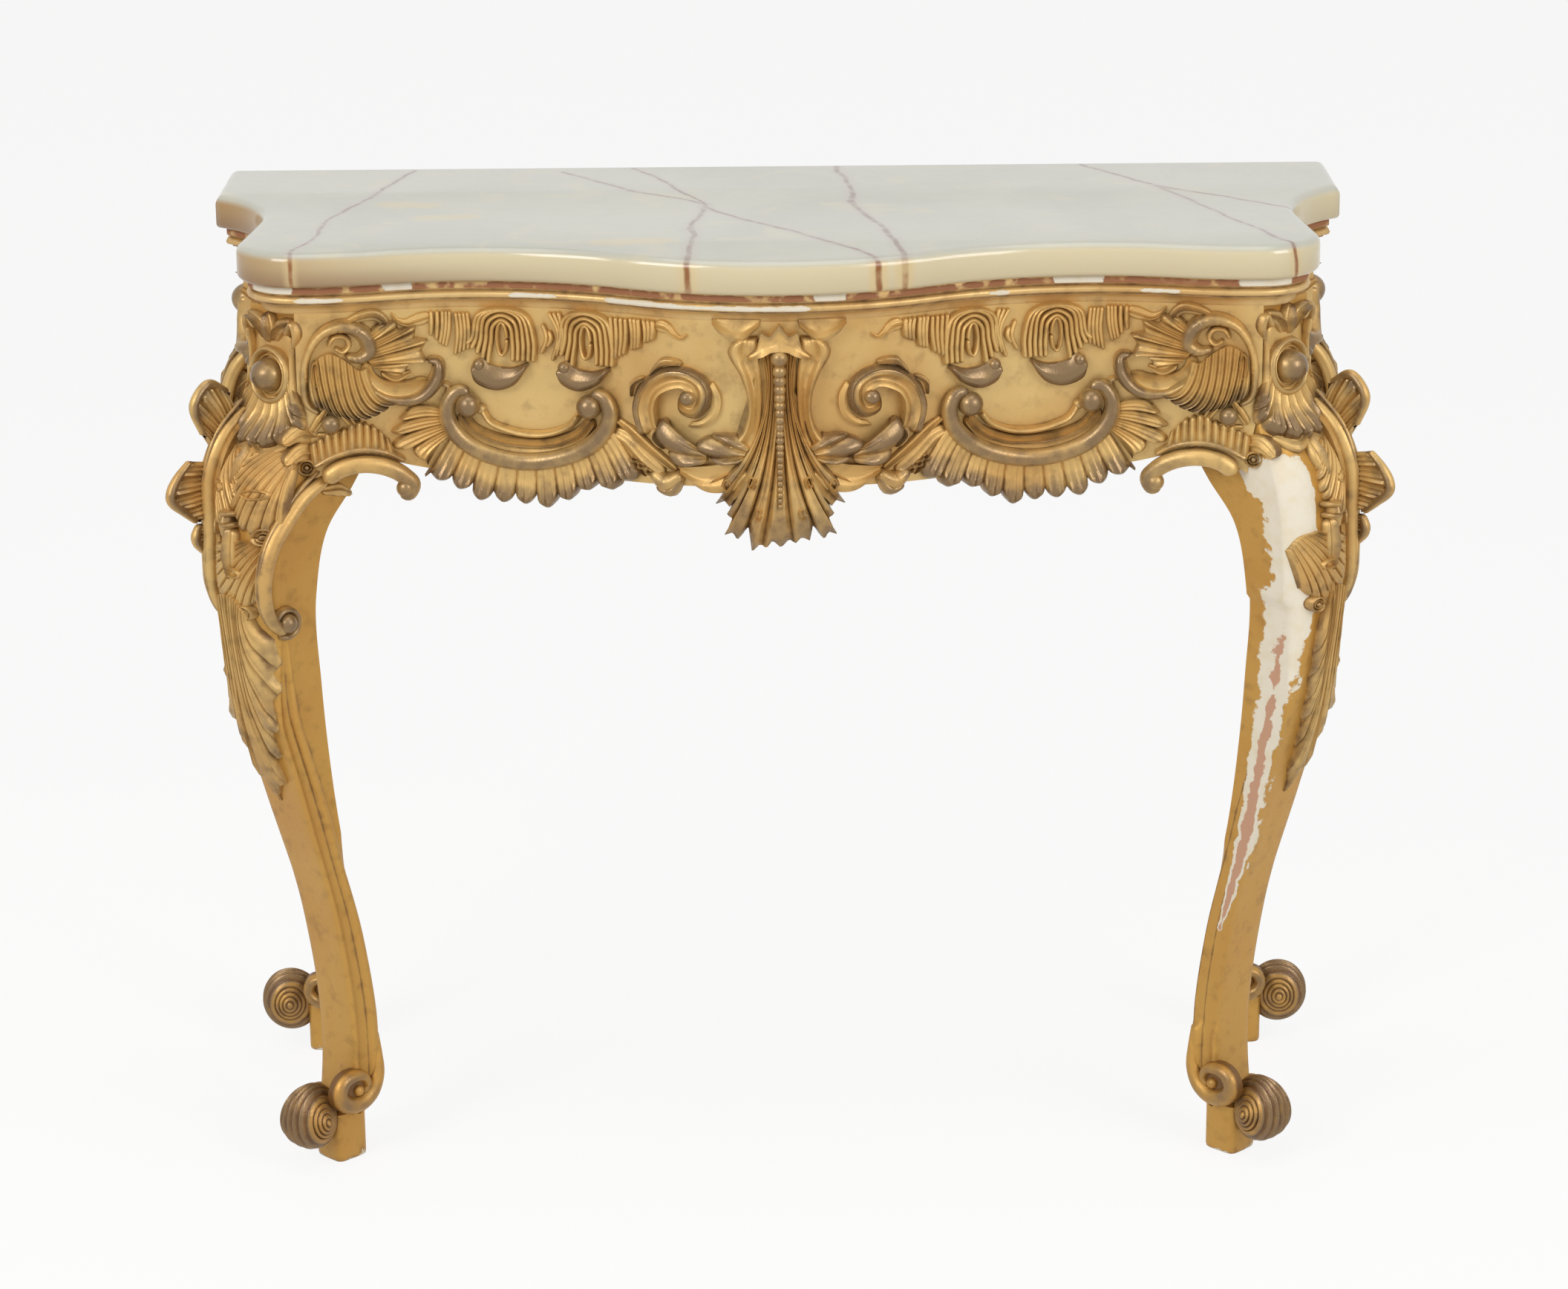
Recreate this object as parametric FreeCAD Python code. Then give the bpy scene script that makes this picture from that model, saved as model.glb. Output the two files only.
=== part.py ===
import FreeCAD, Part
import math
import os

from FreeCAD import Vector

# Pier table, in millimetres. X runs to the right, Y to the wall, Z up.
# The origin is on the floor under the middle of the slab.

# Slab
TABLE_HEIGHT = 920.0
TOP_WIDTH = 1084.0
TOP_DEPTH = 434.0
TOP_THICKNESS = 32.0
TOP_ROUND = 9.0
UNDER_ROUND = 5.0
EAR_STEP = 54.0
CORNER_FLARE = 10.0
FRONT_DIP = 70.0
DIP_FROM_CORNER = 155.0
CORNER_SETBACK = 48.0
EAR_DEPTH_SHARE = 0.277
HOLLOW_DEPTH_SHARE = 0.242

# Cornice members, from the slab down
CAP_HEIGHT = 8.0
CAP_INSET = 9.0
GROOVE_HEIGHT = 2.0
GROOVE_INSET = 13.0
BEAD_HEIGHT = 7.0
BEAD_INSET = 8.0
BEAD_ROUND = 3.0
NECK_HEIGHT = 2.0
NECK_INSET = 14.0
COVE_HEIGHT = 9.0

# Rails and bearers
RAIL_INSET = 22.0
RAIL_THICKNESS = 24.0
RAIL_HEIGHT = 160.0
SIDE_RAIL_HEIGHT = 135.0
BACK_RAIL_HEIGHT = 100.0
CORNER_INNER_RADIUS = 12.0
BACK_GAP = 2.0
BEARER_WIDTH = 50.0
BEARER_HEIGHT = 50.0
BEARER_FROM_MIDDLE = 200.0
CORNER_BLOCK = 32.0
CORNER_BLOCK_HEIGHT = 80.0

# Dowels, pegs and screws
DOWEL_RADIUS = 4.0
DOWEL_LENGTH = 40.0
PEG_RADIUS = 7.0
PEG_LENGTH = 50.0
SCREW_RADIUS = 2.5
SCREW_LENGTH = 58.0
SCREW_HEAD_RADIUS = 5.0
SCREW_HEAD_HEIGHT = 4.0
HOLE_CLEARANCE = 0.1

# Legs
FRONT_LEG_FROM_SIDE = 61.0
FRONT_LEG_FROM_CREST = 77.0
FRONT_LEG_TURN = -45.0
BACK_LEG_FROM_SIDE = 66.0
KNEE_REACH = 98.0
BACK_KNEE_REACH = 80.0
STILE_FRONT = 40.0
STILE_BACK = 30.0
ANKLE_WIDTH = 50.0
KNEE_WIDTH = 84.0
STILE_WIDTH = 68.0
BACK_LEG_WIDTH = 56.0
BLOCK_WIDTH = 38.0
BLOCK_HEIGHT = 50.0

# Carving: how much closer it is drawn to the middle than the rail, and how far each kind stands off its ground
CARVING_DRAWN_IN = 4.0
CARTOUCHE_RELIEF = 10.0
BOSS_RADIUS = 16.0
KNEE_SHELL_RELIEF = 16.0
LEAF_RELIEF = 8.0
KNEE_SCROLL_RELIEF = 10.0
VOLUTE_RADIUS = 22.0
VOLUTE_RELIEF = 7.0
TOE_REACH = 60.0
TOE_HEIGHT = 74.0
CENTRE_LEAF_RELIEF = 12.0
HUSK_RELIEF = 6.0
STRAP_RELIEF = 8.0
ACANTHUS_RELIEF = 12.0
C_SCROLL_RELIEF = 16.0
FAN_RELIEF = 10.0
FRINGE_RELIEF = 7.0
CORNER_SHELL_RELIEF = 12.0
ARCH_RELIEF = 10.0
SIDE_SHELL_RELIEF = 12.0

# One overrun serves all cuts
OVERRUN = 40.0

# Worked-out sizes
HALF_DEPTH = TOP_DEPTH / 2
EAR_HALF = TOP_WIDTH / 2
WAIST_HALF = EAR_HALF - EAR_STEP
CORNER_HALF = WAIST_HALF + CORNER_FLARE
FRAME_TOP = TABLE_HEIGHT - TOP_THICKNESS
LEG_TOP = FRAME_TOP - CAP_HEIGHT - GROOVE_HEIGHT - BEAD_HEIGHT - NECK_HEIGHT - COVE_HEIGHT
LEG_LENGTH = LEG_TOP - BLOCK_HEIGHT
INNER_INSET = RAIL_INSET + RAIL_THICKNESS
CORNER_RADIUS = INNER_INSET + CORNER_INNER_RADIUS
CREST_X = CORNER_HALF - CORNER_RADIUS
DIP_X = CREST_X - DIP_FROM_CORNER
CREST_FROM_WALL = TOP_DEPTH - CORNER_SETBACK
CORNER_FROM_WALL = CREST_FROM_WALL - CORNER_RADIUS
DIP_FROM_WALL = TOP_DEPTH - FRONT_DIP
HOLLOW_LENGTH = HOLLOW_DEPTH_SHARE * TOP_DEPTH
HOLLOW_FROM_WALL = EAR_DEPTH_SHARE * TOP_DEPTH + HOLLOW_LENGTH
HOLLOW_RADIUS = HOLLOW_LENGTH / math.sin(2 * math.atan2(EAR_STEP, HOLLOW_LENGTH))
HOLLOW_X = WAIST_HALF + HOLLOW_RADIUS
BACK_INNER = BACK_GAP + RAIL_THICKNESS
FRONT_LEG_X = CORNER_HALF - FRONT_LEG_FROM_SIDE
FRONT_LEG_FROM_WALL = CREST_FROM_WALL - FRONT_LEG_FROM_CREST
BACK_LEG_X = EAR_HALF - BACK_LEG_FROM_SIDE
BACK_LEG_FROM_WALL = BACK_GAP + BACK_LEG_WIDTH / 2
BACK_LEG_FACE = BACK_GAP + BACK_LEG_WIDTH
CARVING_HALF = CREST_X - CARVING_DRAWN_IN

UP = Vector(0, 0, 1)
ORIGIN = Vector(0, 0, 0)
SIDEWAYS = Vector(1, 0, 0)


# Helpers for outlines and prisms

def plan_point(x, from_wall, z=0.0):
    """A point placed by its distance from the wall"""
    return Vector(x, HALF_DEPTH - from_wall, z)


STRAIGHT_SHARE = 0.0001


def lobe_edge(start, crown, end):
    """A rounded lobe over its crown, or a line where the crown lies on it"""
    bend = (crown - start).cross(end - start).Length
    if bend < (end - start).Length ** 2 * STRAIGHT_SHARE:
        return Part.LineSegment(start, end).toShape()
    lobe = Part.BezierCurve()
    lobe.setPoles([start, crown * 2 - (start + end) / 2, end])
    return lobe.toShape()


def lobed_face(points):
    """A face with a lobed edge: every second point is the crown of a lobe"""
    edges = []
    for index in range(0, len(points), 2):
        end = points[(index + 2) % len(points)]
        edges.append(lobe_edge(points[index], points[index + 1], end))
    return Part.Face(Part.Wire(edges))


def mirrored_outline(half):
    """A whole outline from its right half, which runs from axis to axis"""
    other = [(-across, along) for across, along in reversed(half[1:-1])]
    return list(half) + other


def smooth_edge(points):
    """One smooth curve through a few points"""
    curve = Part.BSplineCurve()
    curve.interpolate(points)
    return curve.toShape()


def polygon_prism(points, height):
    """A straight-sided prism"""
    return Part.Face(Part.makePolygon(points + points[:1])).extrude(UP * height)


def main_solid(shape):
    """The piece itself, without any crumb that a cut leaves"""
    return max(shape.Solids, key=lambda solid: solid.Volume)


def mirrored(shape):
    """The left-hand twin of a right-hand piece"""
    return shape.mirror(ORIGIN, SIDEWAYS)


def rod(start, direction, length, radius):
    """A round rod"""
    return Part.makeCylinder(radius, length, start, direction)


# Plan of the slab, which every course of the frame follows at its own inset

def s_bend(run, rise):
    """Radius and angle of two equal arcs that make an S"""
    angle = 2 * math.atan2(rise, run)
    return run / (2 * math.sin(angle)), math.degrees(angle)


def swing(x, from_wall, radius, first, last):
    """Start, crown and end of an arc; angles turn from the front to the right"""
    points = []
    for angle in (first, (first + last) / 2, last):
        turn = math.radians(angle)
        points.append((x + radius * math.sin(turn), from_wall + radius * math.cos(turn)))
    return points


def flare_turn():
    """How far the straight side between corner and hollow turns from square"""
    across = HOLLOW_X - CREST_X
    along = CORNER_FROM_WALL - HOLLOW_FROM_WALL
    touching = math.acos((CORNER_RADIUS + HOLLOW_RADIUS) / math.hypot(across, along))
    return math.degrees(math.atan2(along, across) - touching)


def plan_face(inset, back, z):
    """The plan outline drawn in by an inset and closed by a line along the wall"""
    front_radius, front_angle = s_bend(DIP_X, FRONT_DIP)
    crest_radius, crest_angle = s_bend(DIP_FROM_CORNER, FRONT_DIP - CORNER_SETBACK)
    flare = flare_turn()
    hollow_turn = math.degrees(math.acos((HOLLOW_X - EAR_HALF + inset) / (HOLLOW_RADIUS + inset)))
    corner = swing(CREST_X, CORNER_FROM_WALL, CORNER_RADIUS - inset, 0, 90 + flare)
    hollow = swing(HOLLOW_X, HOLLOW_FROM_WALL, HOLLOW_RADIUS + inset, 270 + flare, 270 - hollow_turn)
    runs = [
        swing(0, TOP_DEPTH - front_radius, front_radius - inset, 0, front_angle),
        swing(DIP_X, DIP_FROM_WALL + front_radius, front_radius + inset, 180 + front_angle, 180),
        swing(DIP_X, DIP_FROM_WALL + crest_radius, crest_radius + inset, 180, 180 - crest_angle),
        swing(CREST_X, CREST_FROM_WALL - crest_radius, crest_radius - inset, -crest_angle, 0),
        corner,
        [corner[-1], hollow[0]],
        hollow,
        [hollow[-1], (hollow[-1][0], back)],
    ]
    edges = []
    for side in (1, -1):
        for run in runs:
            points = [plan_point(side * x, from_wall, z) for x, from_wall in run]
            if len(points) == 3:
                edges.append(Part.Arc(*points).toShape())
            else:
                edges.append(Part.LineSegment(*points).toShape())
    side_x = EAR_HALF - inset
    edges.append(Part.LineSegment(plan_point(side_x, back, z), plan_point(-side_x, back, z)).toShape())
    return Part.Face(Part.Wire(Part.sortEdges(edges)[0]))


def plate(inset, back, low, high):
    """A flat plate of the plan"""
    return plan_face(inset, back, low).extrude(UP * (high - low))


def sloped_plate(low_inset, high_inset, back, low, high):
    """A plate whose edge slopes from one inset to another"""
    if low_inset == high_inset:
        return plate(low_inset, back, low, high)
    wires = [plan_face(low_inset, back, low).OuterWire, plan_face(high_inset, back, high).OuterWire]
    return Part.makeLoft(wires, True, True)


def front_region(low, high):
    """Everything in front of the two corner mitres"""
    reach = TOP_DEPTH
    inner = CORNER_RADIUS
    corners = [
        (CREST_X + reach, CORNER_FROM_WALL + reach),
        (CREST_X - inner, CORNER_FROM_WALL - inner),
        (inner - CREST_X, CORNER_FROM_WALL - inner),
        (-CREST_X - reach, CORNER_FROM_WALL + reach),
    ]
    return polygon_prism([plan_point(x, from_wall, low) for x, from_wall in corners], high - low)


# Slab: onyx, with a rounded edge wherever it can be touched

def onyx_top():
    slab = plate(0, 0, FRAME_TOP, TABLE_HEIGHT)
    for height, radius in ((TABLE_HEIGHT, TOP_ROUND), (FRAME_TOP, UNDER_ROUND)):
        edges = []
        for edge in slab.Edges:
            box = edge.BoundBox
            at_height = abs(box.ZMin - height) + abs(box.ZMax - height) < HOLE_CLEARANCE
            if at_height and box.YMin < HALF_DEPTH - HOLE_CLEARANCE:
                edges.append(edge)
        slab = slab.makeFillet(radius, edges)
    return main_solid(slab)


# Cornice: cap, groove, bead, neck and cove, mitred at the front corners

def cornice_runs():
    """Front run, right return and back strip"""
    members = (
        (CAP_HEIGHT, CAP_INSET, CAP_INSET),
        (GROOVE_HEIGHT, GROOVE_INSET, GROOVE_INSET),
        (BEAD_HEIGHT / 2, BEAD_INSET + BEAD_ROUND, BEAD_INSET),
        (BEAD_HEIGHT / 2, BEAD_INSET, BEAD_INSET + BEAD_ROUND),
        (NECK_HEIGHT, NECK_INSET, NECK_INSET),
        (COVE_HEIGHT, NECK_INSET, RAIL_INSET),
    )
    high = FRAME_TOP
    courses = []
    for height, high_inset, low_inset in members:
        courses.append(sloped_plate(low_inset, high_inset, BACK_GAP, high - height, high))
        high -= height
    low = LEG_TOP - OVERRUN
    top = FRAME_TOP + OVERRUN
    inside = plate(INNER_INSET, -OVERRUN, low, top)
    ring = courses[0].fuse(courses[1:]).removeSplitter().cut(inside)
    front = front_region(low, top)
    right_half = Part.makeBox(TOP_WIDTH, 2 * TOP_DEPTH, top - low, Vector(0, -TOP_DEPTH, low))
    strip_half = EAR_HALF - INNER_INSET
    strip_corner = plan_point(-strip_half, BACK_INNER, LEG_TOP)
    strip = Part.makeBox(2 * strip_half, RAIL_THICKNESS, FRAME_TOP - LEG_TOP, strip_corner)
    return main_solid(ring.common(front)), main_solid(ring.common(right_half).cut(front)), strip


# Legs: each is sawn from two faces, its profile and its width

# Knee curve, as shares of the knee's reach and of the leg's length
OUTER_SHARES = ((0.06, 0.0), (0.01, 0.07), (0.17, 0.25), (0.55, 0.414), (0.88, 0.556),
                (1.0, 0.704), (0.88, 0.807))
INNER_SHARES = ((-0.25, 0.0), (-0.31, 0.09), (-0.2, 0.22), (0.1, 0.377), (0.275, 0.556),
                (0.285, 0.667), (0.1, 0.743), (-0.2, 0.788))
# The neck over the knee, as shares of the stile's front and of the leg's length
NECK_SHARES = (1.17, 0.88)
STILE_FRONT_SHARE = 0.93
STILE_BACK_SHARE = 0.82
# How the width grows from ankle to knee, and where it is the stile's
WIDTH_SHARES = ((0.0, 0.31), (0.29, 0.46), (0.65, 0.655), (1.0, 0.8))
STILE_WIDTH_SHARE = 0.885


def leg_height(share):
    """Height of a share of the leg's length above its block"""
    return BLOCK_HEIGHT + share * LEG_LENGTH


def leg_profile(reach):
    """The leg's side view as a wide prism, with X out from the leg's axis"""
    outer = [Vector(out * reach, 0, leg_height(up)) for out, up in OUTER_SHARES]
    outer.append(Vector(NECK_SHARES[0] * STILE_FRONT, 0, leg_height(NECK_SHARES[1])))
    outer.append(Vector(STILE_FRONT, 0, leg_height(STILE_FRONT_SHARE)))
    inner = [Vector(out * reach, 0, leg_height(up)) for out, up in INNER_SHARES]
    inner.append(Vector(-STILE_BACK, 0, leg_height(STILE_BACK_SHARE)))
    top_front = Vector(STILE_FRONT, 0, LEG_TOP)
    top_back = Vector(-STILE_BACK, 0, LEG_TOP)
    edges = [
        smooth_edge(outer),
        Part.LineSegment(outer[-1], top_front).toShape(),
        Part.LineSegment(top_front, top_back).toShape(),
        Part.LineSegment(top_back, inner[-1]).toShape(),
        smooth_edge(inner),
        Part.LineSegment(inner[0], outer[0]).toShape(),
    ]
    face = Part.Face(Part.Wire(Part.sortEdges(edges)[0]))
    prism = face.extrude(Vector(0, 2 * KNEE_WIDTH, 0))
    return prism.translated(Vector(0, -KNEE_WIDTH, 0))


def leg_front(knee, stile):
    """The leg's front view as a deep prism"""
    edges = []
    for side in (1, -1):
        ankle = side * ANKLE_WIDTH / 2
        growth = side * (knee - ANKLE_WIDTH) / 2
        curve = [Vector(0, ankle + grown * growth, leg_height(up)) for grown, up in WIDTH_SHARES]
        curve.append(Vector(0, side * stile / 2, leg_height(STILE_WIDTH_SHARE)))
        foot = Vector(0, ankle, BLOCK_HEIGHT)
        top = Vector(0, side * stile / 2, LEG_TOP)
        edges.append(Part.LineSegment(foot, curve[0]).toShape())
        edges.append(smooth_edge(curve))
        edges.append(Part.LineSegment(curve[-1], top).toShape())
        edges.append(Part.LineSegment(Vector(0, 0, BLOCK_HEIGHT), foot).toShape())
        edges.append(Part.LineSegment(Vector(0, 0, LEG_TOP), top).toShape())
    face = Part.Face(Part.Wire(Part.sortEdges(edges)[0]))
    depth = 2 * (KNEE_REACH + OVERRUN)
    return face.extrude(SIDEWAYS * 2 * depth).translated(SIDEWAYS * -depth)


def on_leg_front(half_shares, width, profile, base, relief):
    """Carving on the leg's outer face, as an outline in shares of the leg's width and length"""
    points = []
    for across, up in mirrored_outline(half_shares):
        points.append(Vector(0, across * width / 2, leg_height(up)))
    reach = KNEE_REACH + 2 * OVERRUN
    prism = lobed_face(points).extrude(SIDEWAYS * reach)
    ground = profile.translated(SIDEWAYS * base)
    skin = ground.translated(SIDEWAYS * relief).cut(ground)
    return main_solid(prism.common(skin))


def on_leg_side(shares, reach, front, side, relief):
    """Carving on one side of the leg, as an outline in shares of the knee's reach and leg's length"""
    points = [Vector(out * reach, 0, leg_height(up)) for out, up in shares]
    prism = lobed_face(points).extrude(Vector(0, side * 2 * KNEE_WIDTH, 0))
    skin = front.translated(Vector(0, side * relief, 0)).cut(front)
    return main_solid(prism.common(skin))


# Leg carving outlines: valley, crown, valley and so on
CARTOUCHE_SHARES = ((0, 0.985), (0.54, 0.982), (0.8, 0.963), (0.88, 0.933), (0.72, 0.904),
                    (0.78, 0.879), (0.44, 0.867), (0.24, 0.85), (0, 0.846))
KNEE_SHELL_SHARES = ((0, 0.842), (0.57, 0.837), (0.86, 0.81), (0.97, 0.783), (0.8, 0.753),
                     (0.84, 0.728), (0.62, 0.706), (0.66, 0.684), (0.33, 0.674), (0.19, 0.647), (0, 0.637))
LEAF_SHARES = ((0, 0.632), (0.38, 0.625), (0.64, 0.6), (0.74, 0.574), (0.57, 0.55),
               (0.64, 0.526), (0.47, 0.504), (0.5, 0.481), (0.28, 0.462), (0.19, 0.432), (0, 0.411))
KNEE_SCROLL_SHARES = ((0.37, 0.63), (0.51, 0.611), (0.65, 0.63), (0.8, 0.716), (0.755, 0.783),
                      (0.67, 0.81), (0.49, 0.825), (0.43, 0.816), (0.41, 0.806), (0.55, 0.793),
                      (0.6, 0.773), (0.63, 0.723), (0.53, 0.664), (0.43, 0.647))
BOSS_SHARE = 0.922
# Foot: the toe in shares of its own reach and height, the volute in shares of the toe's
TOE_SHARES = ((0.0, 1.0), (0.53, 0.92), (0.87, 0.78), (1.0, 0.58), (0.75, 0.36),
              (0.47, 0.27), (0.17, 0.32), (0.03, 0.65))
VOLUTE_REACH_SHARE = 0.13
VOLUTE_HEIGHT_SHARE = 0.96


def leg_set(reach, knee, stile, carved_sides):
    """One leg with its block, peg and carving, in the leg's own frame"""
    profile = leg_profile(reach)
    front = leg_front(knee, stile)
    peg_reach = (OUTER_SHARES[0][0] + INNER_SHARES[0][0]) / 2 * reach
    peg_start = Vector(peg_reach, 0, BLOCK_HEIGHT - PEG_LENGTH / 2)
    bore = rod(peg_start, UP, PEG_LENGTH, PEG_RADIUS + HOLE_CLEARANCE)
    block_corner = Vector(-BLOCK_WIDTH / 2, -BLOCK_WIDTH / 2, 0)
    block = Part.makeBox(BLOCK_WIDTH, BLOCK_WIDTH, BLOCK_HEIGHT, block_corner)
    toe_points = [Vector(out * TOE_REACH, -ANKLE_WIDTH / 2, up * TOE_HEIGHT) for out, up in TOE_SHARES]
    toe = lobed_face(toe_points).extrude(Vector(0, ANKLE_WIDTH, 0)).cut([profile, block])
    volutes = []
    for side in carved_sides:
        height = VOLUTE_HEIGHT_SHARE * TOE_HEIGHT
        centre = Vector(VOLUTE_REACH_SHARE * TOE_REACH, side * ANKLE_WIDTH / 2, height)
        volutes.append(rod(centre, Vector(0, side, 0), VOLUTE_RELIEF, VOLUTE_RADIUS))
    cartouche = on_leg_front(CARTOUCHE_SHARES, stile, profile, 0, CARTOUCHE_RELIEF)
    boss_centre = Vector(STILE_FRONT + CARTOUCHE_RELIEF, 0, leg_height(BOSS_SHARE))
    boss = Part.makeSphere(BOSS_RADIUS, boss_centre)
    boss = boss.cut(profile.translated(SIDEWAYS * CARTOUCHE_RELIEF))
    return {
        "leg": [main_solid(profile.common(front).cut(bore))],
        "block": [main_solid(block.cut(bore))],
        "peg": [rod(peg_start, UP, PEG_LENGTH, PEG_RADIUS)],
        "toe_scroll": [main_solid(toe)],
        "volute": volutes,
        "cartouche": [cartouche],
        "boss": [main_solid(boss)],
        "knee_shell": [on_leg_front(KNEE_SHELL_SHARES, knee, profile, 0, KNEE_SHELL_RELIEF)],
        "acanthus": [on_leg_front(LEAF_SHARES, knee, profile, 0, LEAF_RELIEF)],
        "knee_scrolls": [on_leg_side(KNEE_SCROLL_SHARES, reach, front, side, KNEE_SCROLL_RELIEF)
                         for side in carved_sides],
    }


def stand_leg(pieces, x, from_wall, turn):
    """Turns a leg's pieces to face their way and sets them at the leg's place"""
    place = plan_point(x, from_wall)
    stood = {}
    for name, solids in pieces.items():
        stood[name] = [solid.rotated(ORIGIN, UP, turn).translated(place) for solid in solids]
    return stood


def stile_space(width, x, from_wall, turn):
    """The room that a stile takes out of the rails"""
    reach = STILE_FRONT + STILE_BACK + OVERRUN
    corner = Vector(-reach, -width / 2, 0)
    box = Part.makeBox(2 * reach, width, TABLE_HEIGHT, corner)
    return box.rotated(ORIGIN, UP, turn).translated(plan_point(x, from_wall))


# Rails: bandsawn strips between the stiles

# Lower edge of the front rail, as shares of its half length and height
RAIL_EDGE_SHARES = ((0.0, 0.03), (0.5, 0.0), (0.8, 0.09), (0.89, 0.14), (0.97, 0.03), (1.02, -0.06))


def rail_ring(height):
    """A course of the rails' thickness, open at the wall"""
    low = LEG_TOP - height
    outside = plate(RAIL_INSET, BACK_LEG_FROM_WALL, low, LEG_TOP)
    inside = plate(INNER_INSET, -OVERRUN, low - OVERRUN, LEG_TOP + OVERRUN)
    return outside.cut(inside)


def front_rail():
    """The serpentine rail, with its lower edge sawn to a curve"""
    deepest = RAIL_HEIGHT * (1 - RAIL_EDGE_SHARES[-1][1])
    blank = rail_ring(deepest).common(front_region(LEG_TOP - RAIL_HEIGHT - OVERRUN, LEG_TOP + OVERRUN))
    half = []
    for along, up in RAIL_EDGE_SHARES:
        half.append(Vector(along * CREST_X, -TOP_DEPTH, LEG_TOP - RAIL_HEIGHT * (1 - up)))
    other = [Vector(-point.x, point.y, point.z) for point in reversed(half[1:])]
    curve = smooth_edge(other + half)
    low = LEG_TOP - RAIL_HEIGHT - 2 * OVERRUN
    left_foot = Vector(-half[-1].x, -TOP_DEPTH, low)
    right_foot = Vector(half[-1].x, -TOP_DEPTH, low)
    edges = [
        curve,
        Part.LineSegment(half[-1], right_foot).toShape(),
        Part.LineSegment(right_foot, left_foot).toShape(),
        Part.LineSegment(left_foot, other[0]).toShape(),
    ]
    waste = Part.Face(Part.Wire(Part.sortEdges(edges)[0])).extrude(Vector(0, 2 * TOP_DEPTH, 0))
    return blank.cut(waste)


def side_rail():
    """The right-hand rail, from the front stile to the back one"""
    low = LEG_TOP - SIDE_RAIL_HEIGHT
    high = LEG_TOP + OVERRUN
    right_half = Part.makeBox(TOP_WIDTH, 2 * TOP_DEPTH, high - low, Vector(0, -TOP_DEPTH, low))
    return rail_ring(SIDE_RAIL_HEIGHT).common(right_half).cut(front_region(low - OVERRUN, high))


def back_rail():
    """A plain board between the back stiles"""
    corner = plan_point(-BACK_LEG_X, BACK_INNER, LEG_TOP - BACK_RAIL_HEIGHT)
    return Part.makeBox(2 * BACK_LEG_X, RAIL_THICKNESS, BACK_RAIL_HEIGHT, corner)


# Fixings

DOWEL_HEIGHT_SHARES = (0.3, 0.7)
DOWEL_IN_LEG_SHARE = 0.35


def dowels(extra):
    """Right-hand dowels of the four joints, or their holes with extra all round"""
    half_rail = RAIL_INSET + RAIL_THICKNESS / 2
    oblique = STILE_WIDTH / math.sqrt(2)
    front_wall = CREST_FROM_WALL - half_rail
    front_x = FRONT_LEG_X + front_wall - FRONT_LEG_FROM_WALL - oblique
    flare = math.radians(flare_turn())
    drawn_in = (CORNER_FROM_WALL - FRONT_LEG_FROM_WALL + STILE_BACK) * math.sin(flare)
    waist_x = CREST_X + (CORNER_RADIUS - half_rail - drawn_in) / math.cos(flare)
    waist_wall = FRONT_LEG_FROM_WALL + waist_x - FRONT_LEG_X - oblique
    joints = (
        (front_x, front_wall, Vector(1, 0, 0), RAIL_HEIGHT),
        (waist_x, waist_wall, Vector(0, -1, 0), SIDE_RAIL_HEIGHT),
        (EAR_HALF - half_rail, BACK_LEG_FACE, Vector(0, 1, 0), SIDE_RAIL_HEIGHT),
        (BACK_LEG_X - STILE_BACK, BACK_GAP + RAIL_THICKNESS / 2, Vector(1, 0, 0), BACK_RAIL_HEIGHT),
    )
    rods = []
    for x, from_wall, into_leg, height in joints:
        for share in DOWEL_HEIGHT_SHARES:
            joint = plan_point(x, from_wall, LEG_TOP - share * height)
            start = joint - into_leg * (DOWEL_LENGTH * (1 - DOWEL_IN_LEG_SHARE) + extra)
            rods.append(rod(start, into_leg, DOWEL_LENGTH + 2 * extra, DOWEL_RADIUS + extra))
    return rods


def bearer_screw(extra):
    """The right-hand bearer's screw, driven through the back rail, or its hole"""
    height = LEG_TOP - (BEARER_HEIGHT - FRAME_TOP + LEG_TOP) / 2
    start = plan_point(BEARER_FROM_MIDDLE, BACK_GAP, height)
    forward = Vector(0, -1, 0)
    head = rod(start, forward, SCREW_HEAD_HEIGHT + extra, SCREW_HEAD_RADIUS + extra)
    shank = rod(start, forward, SCREW_LENGTH + extra, SCREW_RADIUS + extra)
    return main_solid(head.fuse(shank).removeSplitter())


def bearer():
    """The right-hand cross bearer, level with the cornice under the slab"""
    low = FRAME_TOP - BEARER_HEIGHT
    corner = plan_point(BEARER_FROM_MIDDLE - BEARER_WIDTH / 2, TOP_DEPTH, low)
    board = Part.makeBox(BEARER_WIDTH, TOP_DEPTH - BACK_INNER, BEARER_HEIGHT, corner)
    return main_solid(board.common(plate(INNER_INSET, 0, low, FRAME_TOP)))


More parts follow.
